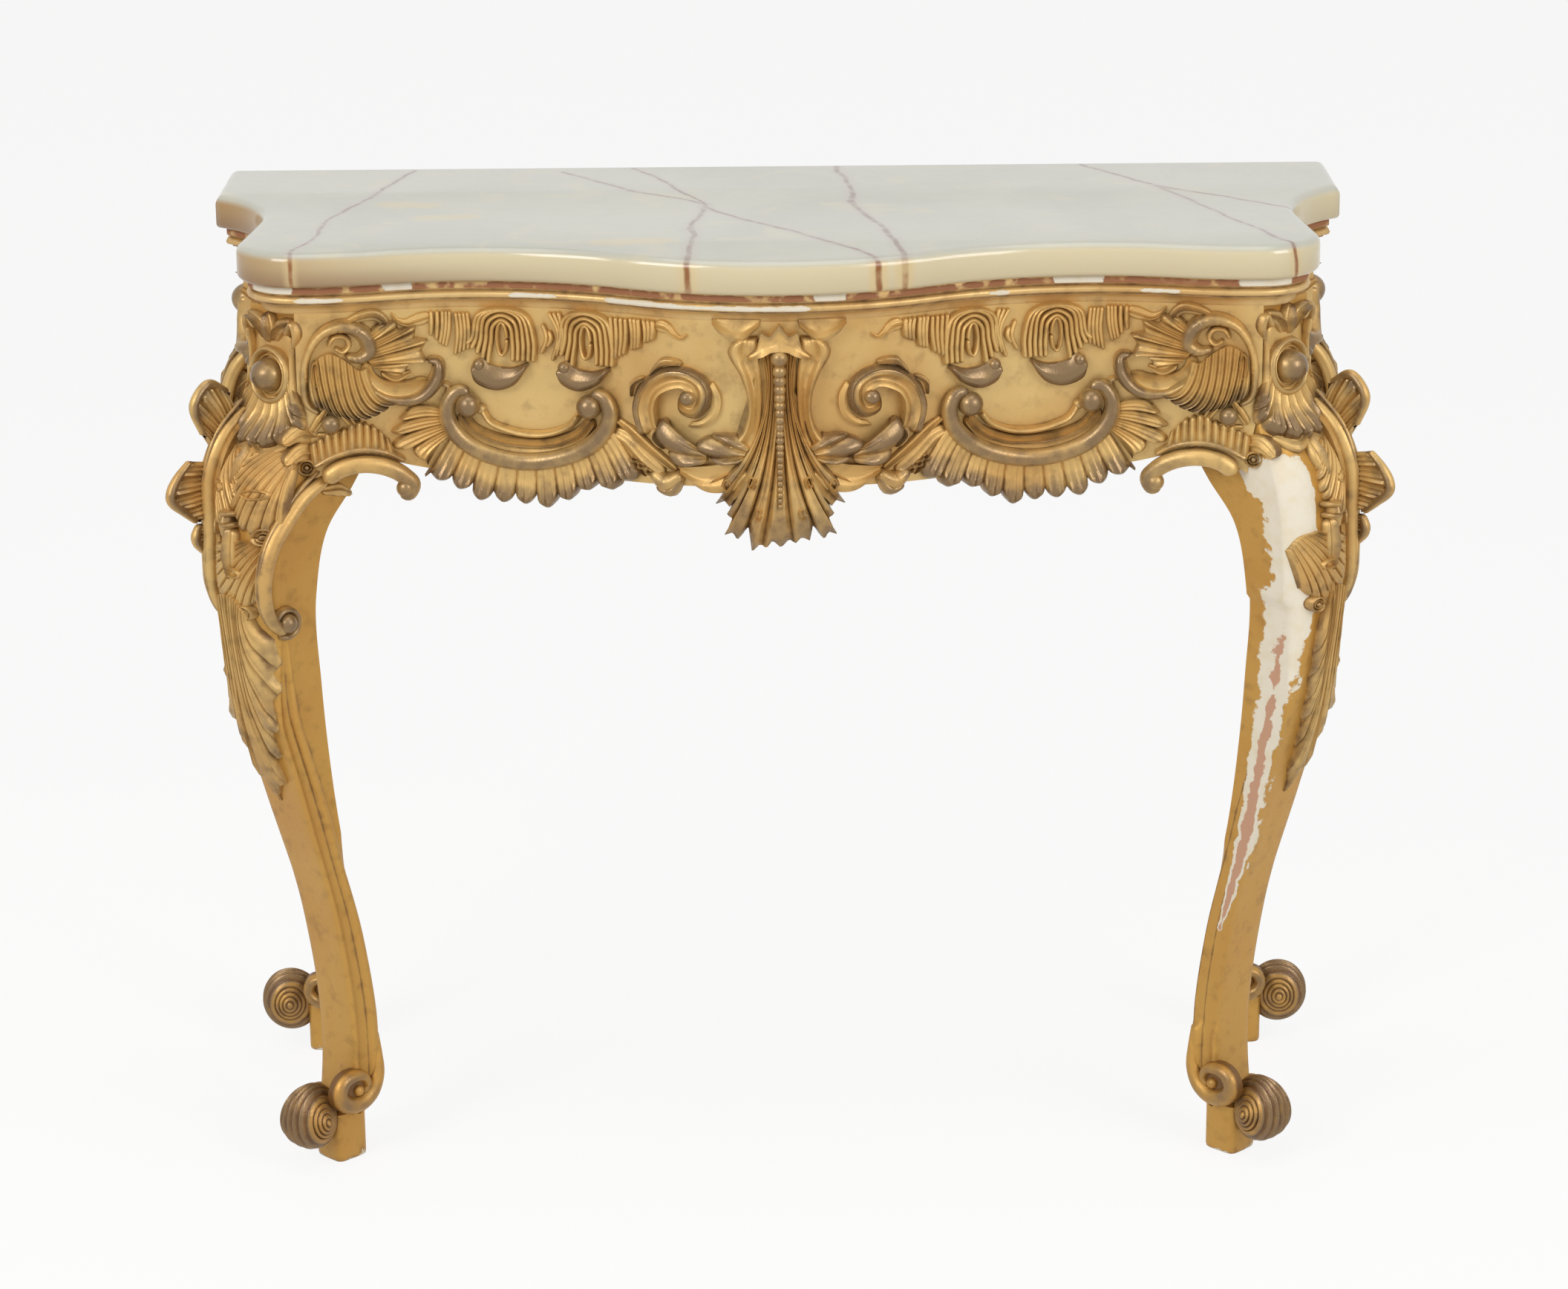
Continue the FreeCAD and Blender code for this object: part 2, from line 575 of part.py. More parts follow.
def corner_blocks(spaces):
    """Right-hand glue blocks behind the front stile and before the back one"""
    low = LEG_TOP - CORNER_BLOCK_HEIGHT
    inner_wall = CREST_FROM_WALL - INNER_INSET
    inner_x = FRONT_LEG_X + inner_wall - FRONT_LEG_FROM_WALL - STILE_WIDTH / math.sqrt(2)
    step = CORNER_BLOCK / math.sqrt(2)
    wedge_corners = [
        plan_point(inner_x, inner_wall, low),
        plan_point(inner_x - step, inner_wall - step, low),
        plan_point(inner_x - CORNER_BLOCK, inner_wall, low),
    ]
    wedge = polygon_prism(wedge_corners, CORNER_BLOCK_HEIGHT)
    inside = plate(INNER_INSET, 0, low, LEG_TOP)
    wedge = wedge.common(inside).cut(spaces)
    side_x = EAR_HALF - INNER_INSET
    corner = plan_point(side_x - CORNER_BLOCK, BACK_LEG_FACE + CORNER_BLOCK, low)
    square = Part.makeBox(CORNER_BLOCK, CORNER_BLOCK, CORNER_BLOCK_HEIGHT, corner)
    return [main_solid(wedge), main_solid(square.common(inside))]


# Apron carving: outlines on the rails' faces, valley, crown, valley and so on.
# Shares run along the half apron from the middle, and down the rail from the cornice.
CENTRE_LEAF_SHARES = ((0, 0.0), (0.045, 0.05), (0.064, 0.14), (0.086, 0.24), (0.05, 0.34), (0.039, 0.46),
                      (0.05, 0.6), (0.073, 0.74), (0.136, 0.86), (0.178, 0.945), (0.148, 0.99),
                      (0.155, 1.1), (0.125, 1.14), (0.132, 1.24), (0.09, 1.225), (0.064, 1.35),
                      (0.027, 1.275), (0.014, 1.33), (0, 1.335))
HUSK_SHARES = ((0, 0.17), (0.018, 0.25), (0.011, 0.34), (0.02, 0.43), (0.011, 0.51), (0.02, 0.61),
               (0.011, 0.7), (0.02, 0.8), (0.011, 0.89), (0.018, 0.98), (0, 1.06))
STRAP_SHARES = ((0.114, 0.0), (0.1, 0.16), (0.07, 0.325), (0.06, 0.46), (0.068, 0.6), (0.09, 0.69),
                (0.127, 0.72), (0.155, 0.73), (0.182, 0.745), (0.177, 0.705), (0.164, 0.68),
                (0.132, 0.67), (0.1, 0.61), (0.084, 0.46), (0.1, 0.325), (0.132, 0.19),
                (0.15, 0.0), (0.132, 0.0))
ACANTHUS_SHARES = ((0.218, 0.84), (0.286, 0.675), (0.311, 0.46), (0.236, 0.24),
                   (0.136, 0.4), (0.15, 0.575), (0.209, 0.61), (0.227, 0.7))
C_SCROLL_SHARES = ((0.7, 0.6), (0.682, 0.79), (0.614, 0.895), (0.536, 0.93), (0.455, 0.89), (0.377, 0.76),
                   (0.364, 0.575), (0.395, 0.47), (0.43, 0.56), (0.418, 0.61), (0.423, 0.675),
                   (0.468, 0.77), (0.536, 0.81), (0.61, 0.77), (0.65, 0.675), (0.643, 0.61),
                   (0.636, 0.55), (0.668, 0.475))
FAN_SHARES = ((0.71, 0.64), (0.845, 0.72), (0.76, 0.86), (0.743, 1.06), (0.702, 1.035), (0.675, 1.125),
              (0.643, 1.085), (0.611, 1.17), (0.573, 1.12), (0.532, 1.205), (0.493, 1.12), (0.455, 1.155),
              (0.432, 1.08), (0.398, 1.095), (0.375, 1.02), (0.34, 1.04), (0.318, 0.98), (0.255, 1.04),
              (0.29, 0.86), (0.318, 0.78), (0.36, 0.7), (0.427, 0.82), (0.536, 0.87), (0.64, 0.825))
FRINGE_SHARES = ((0.784, 0.0), (0.745, 0.075), (0.732, 0.2), (0.69, 0.26), (0.66, 0.35), (0.614, 0.485),
                 (0.564, 0.425), (0.545, 0.34), (0.523, 0.3), (0.502, 0.325), (0.477, 0.3), (0.464, 0.37),
                 (0.448, 0.4), (0.42, 0.42), (0.386, 0.4), (0.364, 0.325), (0.341, 0.275), (0.314, 0.225),
                 (0.273, 0.15), (0.236, 0.14), (0.2, 0.0), (0.5, 0.0))
CORNER_SHELL_SHARES = ((0.968, 0.11), (0.93, 0.045), (0.873, 0.05), (0.83, 0.05), (0.809, 0.125),
                       (0.773, 0.1375), (0.759, 0.225), (0.723, 0.3), (0.732, 0.4), (0.745, 0.49),
                       (0.786, 0.54), (0.855, 0.625), (0.914, 0.56), (0.95, 0.55), (0.968, 0.44), (0.977, 0.275))
ARCH_SCROLL_SHARES = ((0.97, 0.925), (0.89, 0.8), (0.832, 0.8625), (0.795, 0.975), (0.777, 1.075),
                      (0.793, 1.125), (0.809, 1.06), (0.827, 0.96), (0.85, 0.91), (0.9, 0.875), (0.964, 1.0),
                      (0.972, 0.96))
ARCH_SHELL_SHARES = ((0.98, 0.8), (0.94, 0.68), (0.88, 0.67), (0.85, 0.69), (0.84, 0.76),
                     (0.85, 0.79), (0.87, 0.78), (0.92, 0.77))
# The side shell's outline runs along the side rail from its middle
SIDE_SHELL_SHARES = ((0, 0.375), (0.36, 0.425), (0.55, 0.56), (0.7, 0.7), (0.55, 0.825), (0.59, 0.96),
                     (0.43, 1.0), (0.36, 1.11), (0.2, 1.12), (0.1, 1.2), (0, 1.17))


def apron_skin(base, relief):
    """A layer of carving's depth over the rails' faces"""
    low = LEG_TOP - 2 * RAIL_HEIGHT
    outside = plate(RAIL_INSET - base - relief, BACK_LEG_FACE, low, LEG_TOP)
    inside = plate(RAIL_INSET - base, -OVERRUN, low - OVERRUN, LEG_TOP + OVERRUN)
    return outside.cut(inside)


def on_front(shares, base, relief):
    """Carving on the front rail from its outline"""
    points = []
    for along, down in shares:
        points.append(Vector(along * CARVING_HALF, -TOP_DEPTH, LEG_TOP - down * RAIL_HEIGHT))
    prism = lobed_face(points).extrude(Vector(0, TOP_DEPTH + HALF_DEPTH, 0))
    return prism.common(apron_skin(base, relief))


def on_side(shares, relief):
    """Carving on the right-hand rail from its outline"""
    front_end = FRONT_LEG_FROM_WALL - STILE_BACK
    middle = (BACK_LEG_FACE + front_end) / 2
    half = (front_end - BACK_LEG_FACE) / 2
    points = []
    for along, down in shares:
        points.append(plan_point(0, middle + along * half, LEG_TOP - down * RAIL_HEIGHT))
    prism = lobed_face(points).extrude(SIDEWAYS * TOP_WIDTH)
    return main_solid(prism.common(apron_skin(0, relief)))


# Building and writing the pieces

def build():
    """Every piece by its name, as a list of solids"""
    nodes = {"onyx_top": [onyx_top()]}

    def add_pair(pattern, solids):
        """A right-hand piece and its left-hand twin"""
        nodes[pattern.format("left")] = [mirrored(solid) for solid in solids]
        nodes[pattern.format("right")] = solids

    def add_group(name, solids):
        """Like pieces of both sides under one name"""
        nodes[name] = solids + [mirrored(solid) for solid in solids]

    front_run, side_run, back_strip = cornice_runs()
    nodes["front_cornice"] = [front_run]
    add_pair("{}_cornice", [side_run])

    front_place = (FRONT_LEG_X, FRONT_LEG_FROM_WALL, FRONT_LEG_TURN)
    back_place = (BACK_LEG_X, BACK_LEG_FROM_WALL, 0)
    front_set = stand_leg(leg_set(KNEE_REACH, KNEE_WIDTH, STILE_WIDTH, (1, -1)), *front_place)
    back_set = stand_leg(leg_set(BACK_KNEE_REACH, BACK_LEG_WIDTH, BACK_LEG_WIDTH, (-1,)), *back_place)
    front_space = stile_space(STILE_WIDTH, *front_place)
    back_space = stile_space(BACK_LEG_WIDTH, *back_place)
    right_spaces = [front_space, back_space]
    spaces = right_spaces + [mirrored(space) for space in right_spaces]
    right_legs = front_set["leg"] + back_set["leg"]
    legs = right_legs + [mirrored(leg) for leg in right_legs]

    dowel_holes = dowels(HOLE_CLEARANCE)
    all_holes = dowel_holes + [mirrored(hole) for hole in dowel_holes]
    screw_hole = bearer_screw(HOLE_CLEARANCE)
    nodes["back_cornice"] = [back_strip]
    nodes["front_rail"] = [main_solid(front_rail().cut(spaces + legs + all_holes))]
    add_pair("{}_rail", [main_solid(side_rail().cut(spaces + right_legs + dowel_holes))])
    back_holes = all_holes + [screw_hole, mirrored(screw_hole)]
    nodes["back_rail"] = [main_solid(back_rail().cut(legs + back_holes))]
    add_pair("{}_bearer", [main_solid(bearer().cut(screw_hole))])
    add_group("bearer_screws", [bearer_screw(0)])
    add_group("corner_blocks", corner_blocks(right_spaces))
    add_group("rail_dowels", dowels(0))

    for place, pieces in (("front", front_set), ("back", back_set)):
        pieces["leg"] = [main_solid(pieces["leg"][0].cut(dowel_holes))]
        for part in ("leg", "cartouche", "knee_shell", "knee_scrolls", "acanthus", "toe_scroll"):
            add_pair(place + "_{}_" + part, pieces[part])
    add_group("foot_blocks", front_set["block"] + back_set["block"])
    add_group("foot_pegs", front_set["peg"] + back_set["peg"])
    add_group("foot_volutes", front_set["volute"] + back_set["volute"])
    add_group("cartouche_bosses", front_set["boss"] + back_set["boss"])

    leaf = main_solid(on_front(mirrored_outline(CENTRE_LEAF_SHARES), 0, CENTRE_LEAF_RELIEF))
    husks = on_front(mirrored_outline(HUSK_SHARES), CENTRE_LEAF_RELIEF, HUSK_RELIEF)
    nodes["centre_leaf"] = [leaf]
    nodes["centre_husk_string"] = [main_solid(husks)]
    carving = (
        ("{}_c_scroll", C_SCROLL_SHARES, C_SCROLL_RELIEF),
        ("{}_shell_fan", FAN_SHARES, FAN_RELIEF),
        ("{}_scroll_strap", STRAP_SHARES, STRAP_RELIEF),
        ("{}_acanthus_scroll", ACANTHUS_SHARES, ACANTHUS_RELIEF),
        ("{}_corner_shell", CORNER_SHELL_SHARES, CORNER_SHELL_RELIEF),
        ("{}_fringe", FRINGE_SHARES, FRINGE_RELIEF),
        ("{}_arch_scroll", ARCH_SCROLL_SHARES, ARCH_RELIEF),
    )
    laid = [leaf, front_space] + front_set["cartouche"] + front_set["knee_scrolls"] + front_set["leg"]
    for pattern, shares, relief in carving:
        piece = main_solid(on_front(shares, 0, relief).cut(laid))
        laid.append(piece)
        add_pair(pattern, [piece])
    arch_shell = main_solid(on_front(ARCH_SHELL_SHARES, 0, ARCH_RELIEF).cut(laid))
    add_pair("{}_arch_scroll", nodes["right_arch_scroll"] + [arch_shell])
    add_pair("{}_side_shell", [on_side(mirrored_outline(SIDE_SHELL_SHARES), SIDE_SHELL_RELIEF)])
    return nodes


os.makedirs("parts", exist_ok=True)
for node, solids in build().items():
    shape = solids[0] if len(solids) == 1 else Part.makeCompound(solids)
    shape.exportStep("parts/" + node + ".step")
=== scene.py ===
import math

import bmesh
import bpy
import numpy as np
from mathutils import Matrix


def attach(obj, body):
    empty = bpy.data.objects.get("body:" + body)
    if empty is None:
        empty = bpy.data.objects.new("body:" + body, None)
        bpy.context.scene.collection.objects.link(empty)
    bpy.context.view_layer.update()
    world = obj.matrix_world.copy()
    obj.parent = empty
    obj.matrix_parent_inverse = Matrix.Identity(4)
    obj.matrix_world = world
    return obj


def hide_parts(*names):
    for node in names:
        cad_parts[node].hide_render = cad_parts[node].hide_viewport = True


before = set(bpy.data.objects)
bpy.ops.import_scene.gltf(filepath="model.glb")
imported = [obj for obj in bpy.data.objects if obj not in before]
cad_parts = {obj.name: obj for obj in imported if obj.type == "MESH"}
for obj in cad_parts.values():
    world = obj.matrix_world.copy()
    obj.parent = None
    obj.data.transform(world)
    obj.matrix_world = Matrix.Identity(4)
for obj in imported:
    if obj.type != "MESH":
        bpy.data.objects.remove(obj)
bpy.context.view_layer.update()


# Timber inside the frame: plain pine that was never gilded. The back rail, the strip over it, the two cross
# bearers, the glue blocks, the dowels and the pegs are planed and sawn to length.
def srgb(red, green, blue):
    """A colour written as it looks on screen, 0 to 255, turned into the linear colour that a shader takes."""
    shares = np.array([red, green, blue]) / 255
    linear = np.where(shares <= 0.04045, shares / 12.92, ((shares + 0.055) / 1.055) ** 2.4)
    return (*linear, 1.0)


def add(tree, kind, inputs=None, **settings):
    """Adds one shader node. Each input, by name or number, is a plain value or another node's output."""
    made = tree.nodes.new("ShaderNode" + kind)
    for setting, value in settings.items():
        setattr(made, setting, value)
    for socket, value in (inputs or {}).items():
        if isinstance(value, bpy.types.NodeSocket):
            tree.links.new(value, made.inputs[socket])
        else:
            made.inputs[socket].default_value = value
    return made


def blend(tree, share, first, second):
    """The colour between two others at a share."""
    return add(tree, "Mix", {0: share, 6: first, 7: second}, data_type="RGBA").outputs[2]


def ramp(tree, value, low, high, to_low=0.0, to_high=1.0):
    """A value stretched from one range to another with soft ends."""
    sockets = {0: value, 1: low, 2: high, 3: to_low, 4: to_high}
    return add(tree, "MapRange", sockets, interpolation_type="SMOOTHSTEP").outputs[0]


def new_material(name):
    """A material with its Principled shader, ready for its nodes."""
    made = bpy.data.materials.new(name)
    made.use_nodes = True
    return made, made.node_tree, made.node_tree.nodes["Principled BSDF"]


def noise(tree, place, scale, detail, **others):
    """A cloudy pattern from 0 to 1, finer at a larger scale."""
    sockets = {"Vector": place, "Scale": scale, "Detail": detail, **others}
    return add(tree, "TexNoise", sockets).outputs["Fac"]


def feed(tree, shader, sockets):
    """Links values to a shader's sockets."""
    for socket, value in sockets.items():
        tree.links.new(value, shader.inputs[socket])


PINE_LIGHT = srgb(196, 160, 112)
PINE_DARK = srgb(142, 102, 62)
DUST = srgb(120, 104, 84)
GRAIN_STRETCH = 16.0
RING_SCALE = 11.0
FIBRE_SCALE = 99.0
DUST_SCALE = 5.0
GRAIN_DEPTH = 0.0006


def new_group(name, given, returned):
    """A shader node group with named inputs and outputs, and the nodes at its two ends."""
    group = bpy.data.node_groups.new(name, "ShaderNodeTree")
    for way, sockets in (("INPUT", given), ("OUTPUT", returned)):
        for socket, kind in sockets.items():
            group.interface.new_socket(socket, in_out=way, socket_type="NodeSocket" + kind)
    return group, group.nodes.new("NodeGroupInput").outputs, group.nodes.new("NodeGroupOutput")


WORN = {"Base Color": "Color", "Roughness": "Roughness", "Metallic": "Metallic"}


def coated(name, group, values, depth):
    """A material that wears a node group with its own values and its own depth of relief."""
    made, tree, shader = new_material(name)
    coat = tree.nodes.new("ShaderNodeGroup")
    coat.node_tree = group
    for socket, value in zip(coat.inputs, values):
        socket.default_value = value
    bump = add(tree, "Bump", {"Height": coat.outputs["Height"], "Distance": depth})
    looks = {socket: coat.outputs[source] for socket, source in WORN.items() if source in coat.outputs}
    feed(tree, shader, {**looks, "Normal": bump.outputs["Normal"]})
    return made


PINE_LOOKS = {"Color": "Color", "Roughness": "Float", "Height": "Float"}
grain, given, returned = new_group("pine_grain", {"Stretch": "Vector"}, PINE_LOOKS)
place = add(grain, "TexCoord").outputs["Object"]
drawn = add(grain, "Mapping", {"Vector": place, "Scale": given["Stretch"]}).outputs["Vector"]
rings = noise(grain, drawn, RING_SCALE, 5.0)
fibres = noise(grain, drawn, FIBRE_SCALE, 3.0)
dusty = noise(grain, place, DUST_SCALE, 3.0)
wood = blend(grain, ramp(grain, rings, 0.38, 0.66), PINE_LIGHT, PINE_DARK)
wood = blend(grain, ramp(grain, fibres, 0.5, 0.8, 0.0, 0.35), wood, PINE_DARK)
wood = blend(grain, ramp(grain, dusty, 0.45, 0.8, 0.0, 0.4), wood, DUST)
roughness = ramp(grain, fibres, 0.3, 0.7, 0.6, 0.8)
feed(grain, returned, {"Color": wood, "Roughness": roughness, "Height": fibres})


def bare_pine(name, *stretch):
    """Planed pine whose grain runs along the axis that its stretch leaves at 1."""
    return coated(name, grain, [stretch], GRAIN_DEPTH)


pine_along_x = bare_pine("pine_along_x", 1.0, GRAIN_STRETCH, GRAIN_STRETCH)
pine_along_y = bare_pine("pine_along_y", GRAIN_STRETCH, 1.0, GRAIN_STRETCH)
pine_along_z = bare_pine("pine_along_z", GRAIN_STRETCH, GRAIN_STRETCH, 1.0)
PINE_PIECES = {
    "back_rail": pine_along_x,
    "back_cornice": pine_along_x,
    "rail_dowels": pine_along_x,
    "left_bearer": pine_along_y,
    "right_bearer": pine_along_y,
    "corner_blocks": pine_along_z,
    "foot_pegs": pine_along_z,
}


def finish_node(node, material):
    """Gives a CAD solid that stays in view its material."""
    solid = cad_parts[node]
    solid.data.materials.clear()
    solid.data.materials.append(material)


for piece, material in PINE_PIECES.items():
    finish_node(piece, material)


# Bearer screws: two steel wood screws, dull with age and a little rusty. Each is driven through the back
# rail into the end of its bearer.
STEEL = srgb(142, 138, 132)
RUST = srgb(104, 66, 42)
RUST_SCALE = 420.0
screw_steel, tree, shader = new_material("old_screw_steel")
rust = noise(tree, add(tree, "TexCoord").outputs["Object"], RUST_SCALE, 4.0)
feed(tree, shader, {
    "Base Color": blend(tree, ramp(tree, rust, 0.48, 0.62), STEEL, RUST),
    "Roughness": ramp(tree, rust, 0.4, 0.7, 0.35, 0.8),
    "Metallic": ramp(tree, rust, 0.48, 0.62, 1.0, 0.2),
})
finish_node("bearer_screws", screw_steel)


# Apron rails: pine faced with gesso and gold leaf, cut to a curved lower edge and dowelled to the legs. The
# leaf is toned and patchy. The same old gilding covers the legs, the cornice and the carving, where it is
# rubbed on the crowns, and darkened with grime and painted shade in the hollows and under the carving.
# A grime brown that also serves as painted shade in hollows, grooves and under the carving.
GRIME_AND_SHADE_BROWN = srgb(92, 58, 26)
WARM_TONE = srgb(176, 122, 52)
GESSO = srgb(222, 213, 194)
YELLOWED_GESSO = srgb(214, 196, 160)
BARE_TIMBER = srgb(190, 146, 118)
RED_CLAY = srgb(152, 100, 66)
TONE_SCALE = 9.0
PATCH_SCALE = 70.0
FINE_SCALE = 620.0
FLAKE_SCALE = 46.0
LEAF_DEPTH = 0.0005
GIVEN = {"Leaf": "Color", "Rubbed": "Color", "Wear": "Float", "ShadeAndGrime": "Float", "Chips": "Float"}
RETURNED = {"Color": "Color", "Roughness": "Float", "Metallic": "Float", "Height": "Float"}


def sums(tree, operation, first, second):
    """One operation on two values, such as their product."""
    return add(tree, "Math", {0: first, 1: second}, operation=operation).outputs[0]


gilding, given, returned = new_group("old_gilding", GIVEN, RETURNED)
place = add(gilding, "TexCoord").outputs["Object"]
broad = noise(gilding, place, TONE_SCALE, 4.0)
patchy = noise(gilding, place, PATCH_SCALE, 5.0)
fine = noise(gilding, place, FINE_SCALE, 3.0)
flakes = noise(gilding, place, FLAKE_SCALE, 6.0, Roughness=0.62)
mark = {}
for painted in ("rub", "grime_and_shade", "loss", "bare", "clay"):
    mark[painted] = add(gilding, "Attribute", attribute_name=painted).outputs["Fac"]
toned = blend(gilding, ramp(gilding, broad, 0.38, 0.72, 0.0, 0.45), given["Leaf"], WARM_TONE)
toned = blend(gilding, ramp(gilding, patchy, 0.5, 0.75, 0.0, 0.25), toned, GRIME_AND_SHADE_BROWN)
uneven = sums(gilding, "MULTIPLY", sums(gilding, "SUBTRACT", patchy, 0.5), 0.9)
rubbed = sums(gilding, "ADD", sums(gilding, "MULTIPLY", mark["rub"], given["Wear"]), uneven)
rubbed = ramp(gilding, rubbed, 0.08, 0.95, 0.0, 0.95)
# Grime and painted shade: hollows, grooves, undersides and back walls, as marked on each mesh, turn brown.
shaded_and_grimy = sums(gilding, "ADD", sums(gilding, "MULTIPLY", mark["grime_and_shade"], given["ShadeAndGrime"]), uneven)
shaded_and_grimy = ramp(gilding, shaded_and_grimy, 0.25, 1.0, 0.0, 0.85)
clayed = ramp(gilding, sums(gilding, "ADD", mark["clay"], sums(gilding, "MULTIPLY", uneven, 1.6)), 0.45, 0.7)
colour = blend(gilding, rubbed, toned, given["Rubbed"])
colour = blend(gilding, shaded_and_grimy, colour, GRIME_AND_SHADE_BROWN)
colour = blend(gilding, clayed, colour, RED_CLAY)
ragged = sums(gilding, "ADD", sums(gilding, "SUBTRACT", flakes, 0.5), sums(gilding, "MULTIPLY", uneven, 0.3))
chip_at = sums(gilding, "ADD", sums(gilding, "ADD", mark["loss"], given["Chips"]), ragged)
chipped = ramp(gilding, chip_at, 0.47, 0.53)
stripped = ramp(gilding, sums(gilding, "ADD", mark["bare"], ragged), 0.47, 0.53)
gesso = blend(gilding, ramp(gilding, patchy, 0.4, 0.7, 0.0, 0.4), GESSO, YELLOWED_GESSO)
colour = blend(gilding, chipped, colour, gesso)
colour = blend(gilding, stripped, colour, BARE_TIMBER)
matt = sums(gilding, "MAXIMUM", sums(gilding, "MAXIMUM", chipped, stripped), clayed)
burnish = ramp(gilding, rubbed, 0.0, 1.0, 0.44, 0.3)
burnish = sums(gilding, "ADD", burnish, ramp(gilding, fine, 0.35, 0.65, -0.05, 0.07))
# The leaf is less metallic under grime and painted shade.
leafed = sums(gilding, "SUBTRACT", 0.5, sums(gilding, "MULTIPLY", shaded_and_grimy, 0.3))
relief = sums(gilding, "ADD", sums(gilding, "MULTIPLY", patchy, 0.6), sums(gilding, "MULTIPLY", fine, 0.25))
feed(gilding, returned, {
    "Color": colour,
    "Roughness": sums(gilding, "MAXIMUM", burnish, sums(gilding, "MULTIPLY", matt, 0.8)),
    "Metallic": sums(gilding, "MULTIPLY", leafed, sums(gilding, "SUBTRACT", 1.0, matt)),
    "Height": sums(gilding, "SUBTRACT", relief, sums(gilding, "MULTIPLY", chipped, 0.7)),
})


def gilt(name, *amounts):
    """Old gilding with its own leaf colour, rubbed colour and amounts of wear, of grime with painted shade,
    and of chips.
    """
    return coated(name, gilding, amounts, LEAF_DEPTH)


MATT_GOLD = srgb(206, 174, 113)
GREY_BURNISH = srgb(124, 100, 71)
gilt_rails = gilt("gilt_rails", MATT_GOLD, GREY_BURNISH, 0.8, 1.0, 0.0)
for piece in ("front_rail", "left_rail", "right_rail"):
    finish_node(piece, gilt_rails)


# Legs: four cabriole legs of carved and gilded beech. The outer face is broad, a groove and a round bead
# run down each edge to the foot, and the sides are flat. The front pair stand on the diagonals, the back
# pair face sideways.
MM = 0.001
BLOCK_HEIGHT = 50.0
LEG_TOP = 860.0
FRONT_LEG = (437.0, -92.0)
BACK_LEG = (476.0, 187.0)
DIAGONAL = math.sqrt(0.5)
BACK_HALF_WIDTH = 28.0
WALL_GAP = 1.2
WALL_SOFTNESS = 8.0
FRONT_REACH = 98.0
BACK_REACH = 80.0
OUTER_SHARES = ((0.06, 50), (0.01, 107), (0.17, 252), (0.55, 385), (0.88, 500), (1, 620), (0.88, 704))
OUTER_STILE = ((46.8, 763), (40, 803), (40, 860))
INNER_SHARES = ((-0.04, 50), (-0.2, 57), (-0.29, 74), (-0.31, 123), (-0.2, 228), (0.1, 355), (0.29, 500),
                (0.335, 590), (0.19, 652), (-0.14, 690))
INNER_STILE = ((-30, 716), (-30, 740), (-30, 860))
LEG_HALF_WIDTHS = ((26, 50), (26, 301), (31, 423), (36, 581), (42, 698), (34, 767), (34, 860))
EDGE_HALF = 26.0
EDGE_LINE = ((0, 0), (14, 0), (21, 0.5), (25, 1.5), (26, 4), (24.5, 8), (23.5, 14), (24, 19), (24, 21),
             (26, 22.5), (28.5, 26), (29, 30), (27.5, 34), (24, 36))
EDGE_STRETCH = ((1.0, 150), (0.68, 480))
EDGE_POINTS = 25
PANEL_POINTS = 6
LEAST_DEPTH = 36.0
PANEL_SHARES = ((0.35, 250), (1.08, 345))
BACK_SHARES = (0.66, 0.33, 0.0)
FACE_DEPTH = 4.5
KNEE_DROP = 20.0
KNEE_ROUND_FROM = 0.35
KNEE_HEIGHTS = ((0, 470), (1, 560), (1, 725), (0, 772))
MOULDING_LOW = 500.0
MOULDING_HIGH = 580.0
LEG_ROWS = 150
BROKEN_FROM = 128.0
BROKEN_SHARE = 0.88
BROKEN_LEG = "front_right"
PROFILE_POINTS = 400
# Groove and bead, as (depth, width, strength): a dark line in the groove, and a painted shadow behind the
# bead.
GROOVE_AND_BEAD_SHADES = ((20.5, 1.6, 1.0), (36.0, 2.0, 0.8))
PANEL_SHADOW = 0.5
PANEL_SHADOW_FALL = 5.0
LEG_GOLD = srgb(190, 145, 70)
gilt_legs = gilt("gilt_legs", LEG_GOLD, GREY_BURNISH, 0.9, 1.0, 0.06)


def through(points, shares):
    """A smooth line through points, read at the given shares of its length."""
    points = np.asarray(points, float)
    steps = np.linalg.norm(np.diff(points, axis=0), axis=1)
    at = np.concatenate([[0.0], np.cumsum(steps)])
    slope = np.gradient(points, at, axis=0)
    where = np.asarray(shares) * at[-1]
    i = np.clip(np.searchsorted(at, where, side="right") - 1, 0, len(steps) - 1)
    gap = steps[i][:, None]
    t = ((where - at[i]) / steps[i])[:, None]
    near = (1 + 2 * t) * (1 - t) ** 2 * points[i] + t * (1 - t) ** 2 * gap * slope[i]
    return near + t * t * (3 - 2 * t) * points[i + 1] + t * t * (t - 1) * gap * slope[i + 1]


def profile_at(shares, stile, heights, front):
    """Reads a leg's outer or inner profile at given heights: shares of the knee's reach, then the stile."""
    reach = FRONT_REACH if front else BACK_REACH
    points = [(share * reach, up) for share, up in shares] + list(stile)
    line = through(points, np.linspace(0, 1, PROFILE_POINTS))
    return np.interp(heights, line[:, 1], line[:, 0])


def at_heights(table, heights):
    """Reads a table of values, each with its height, at given heights."""
    values, at = np.array(table, float).T
    return np.interp(heights, at, values)


def leg_half_width(heights, front):
    """Half the width of a leg at each height: the back legs are flat boards."""
    return at_heights(LEG_HALF_WIDTHS, heights) if front else np.full(np.shape(heights), BACK_HALF_WIDTH)


def knee_drop(across, heights, front):
    """How far the knee's outer face falls back towards its edges."""
    aside = np.clip(np.abs(across) / leg_half_width(heights, front), 0, 1)
    rounding = np.clip((aside - KNEE_ROUND_FROM) / (1 - KNEE_ROUND_FROM), 0, 1) ** 2
    return KNEE_DROP * at_heights(KNEE_HEIGHTS, heights) * rounding


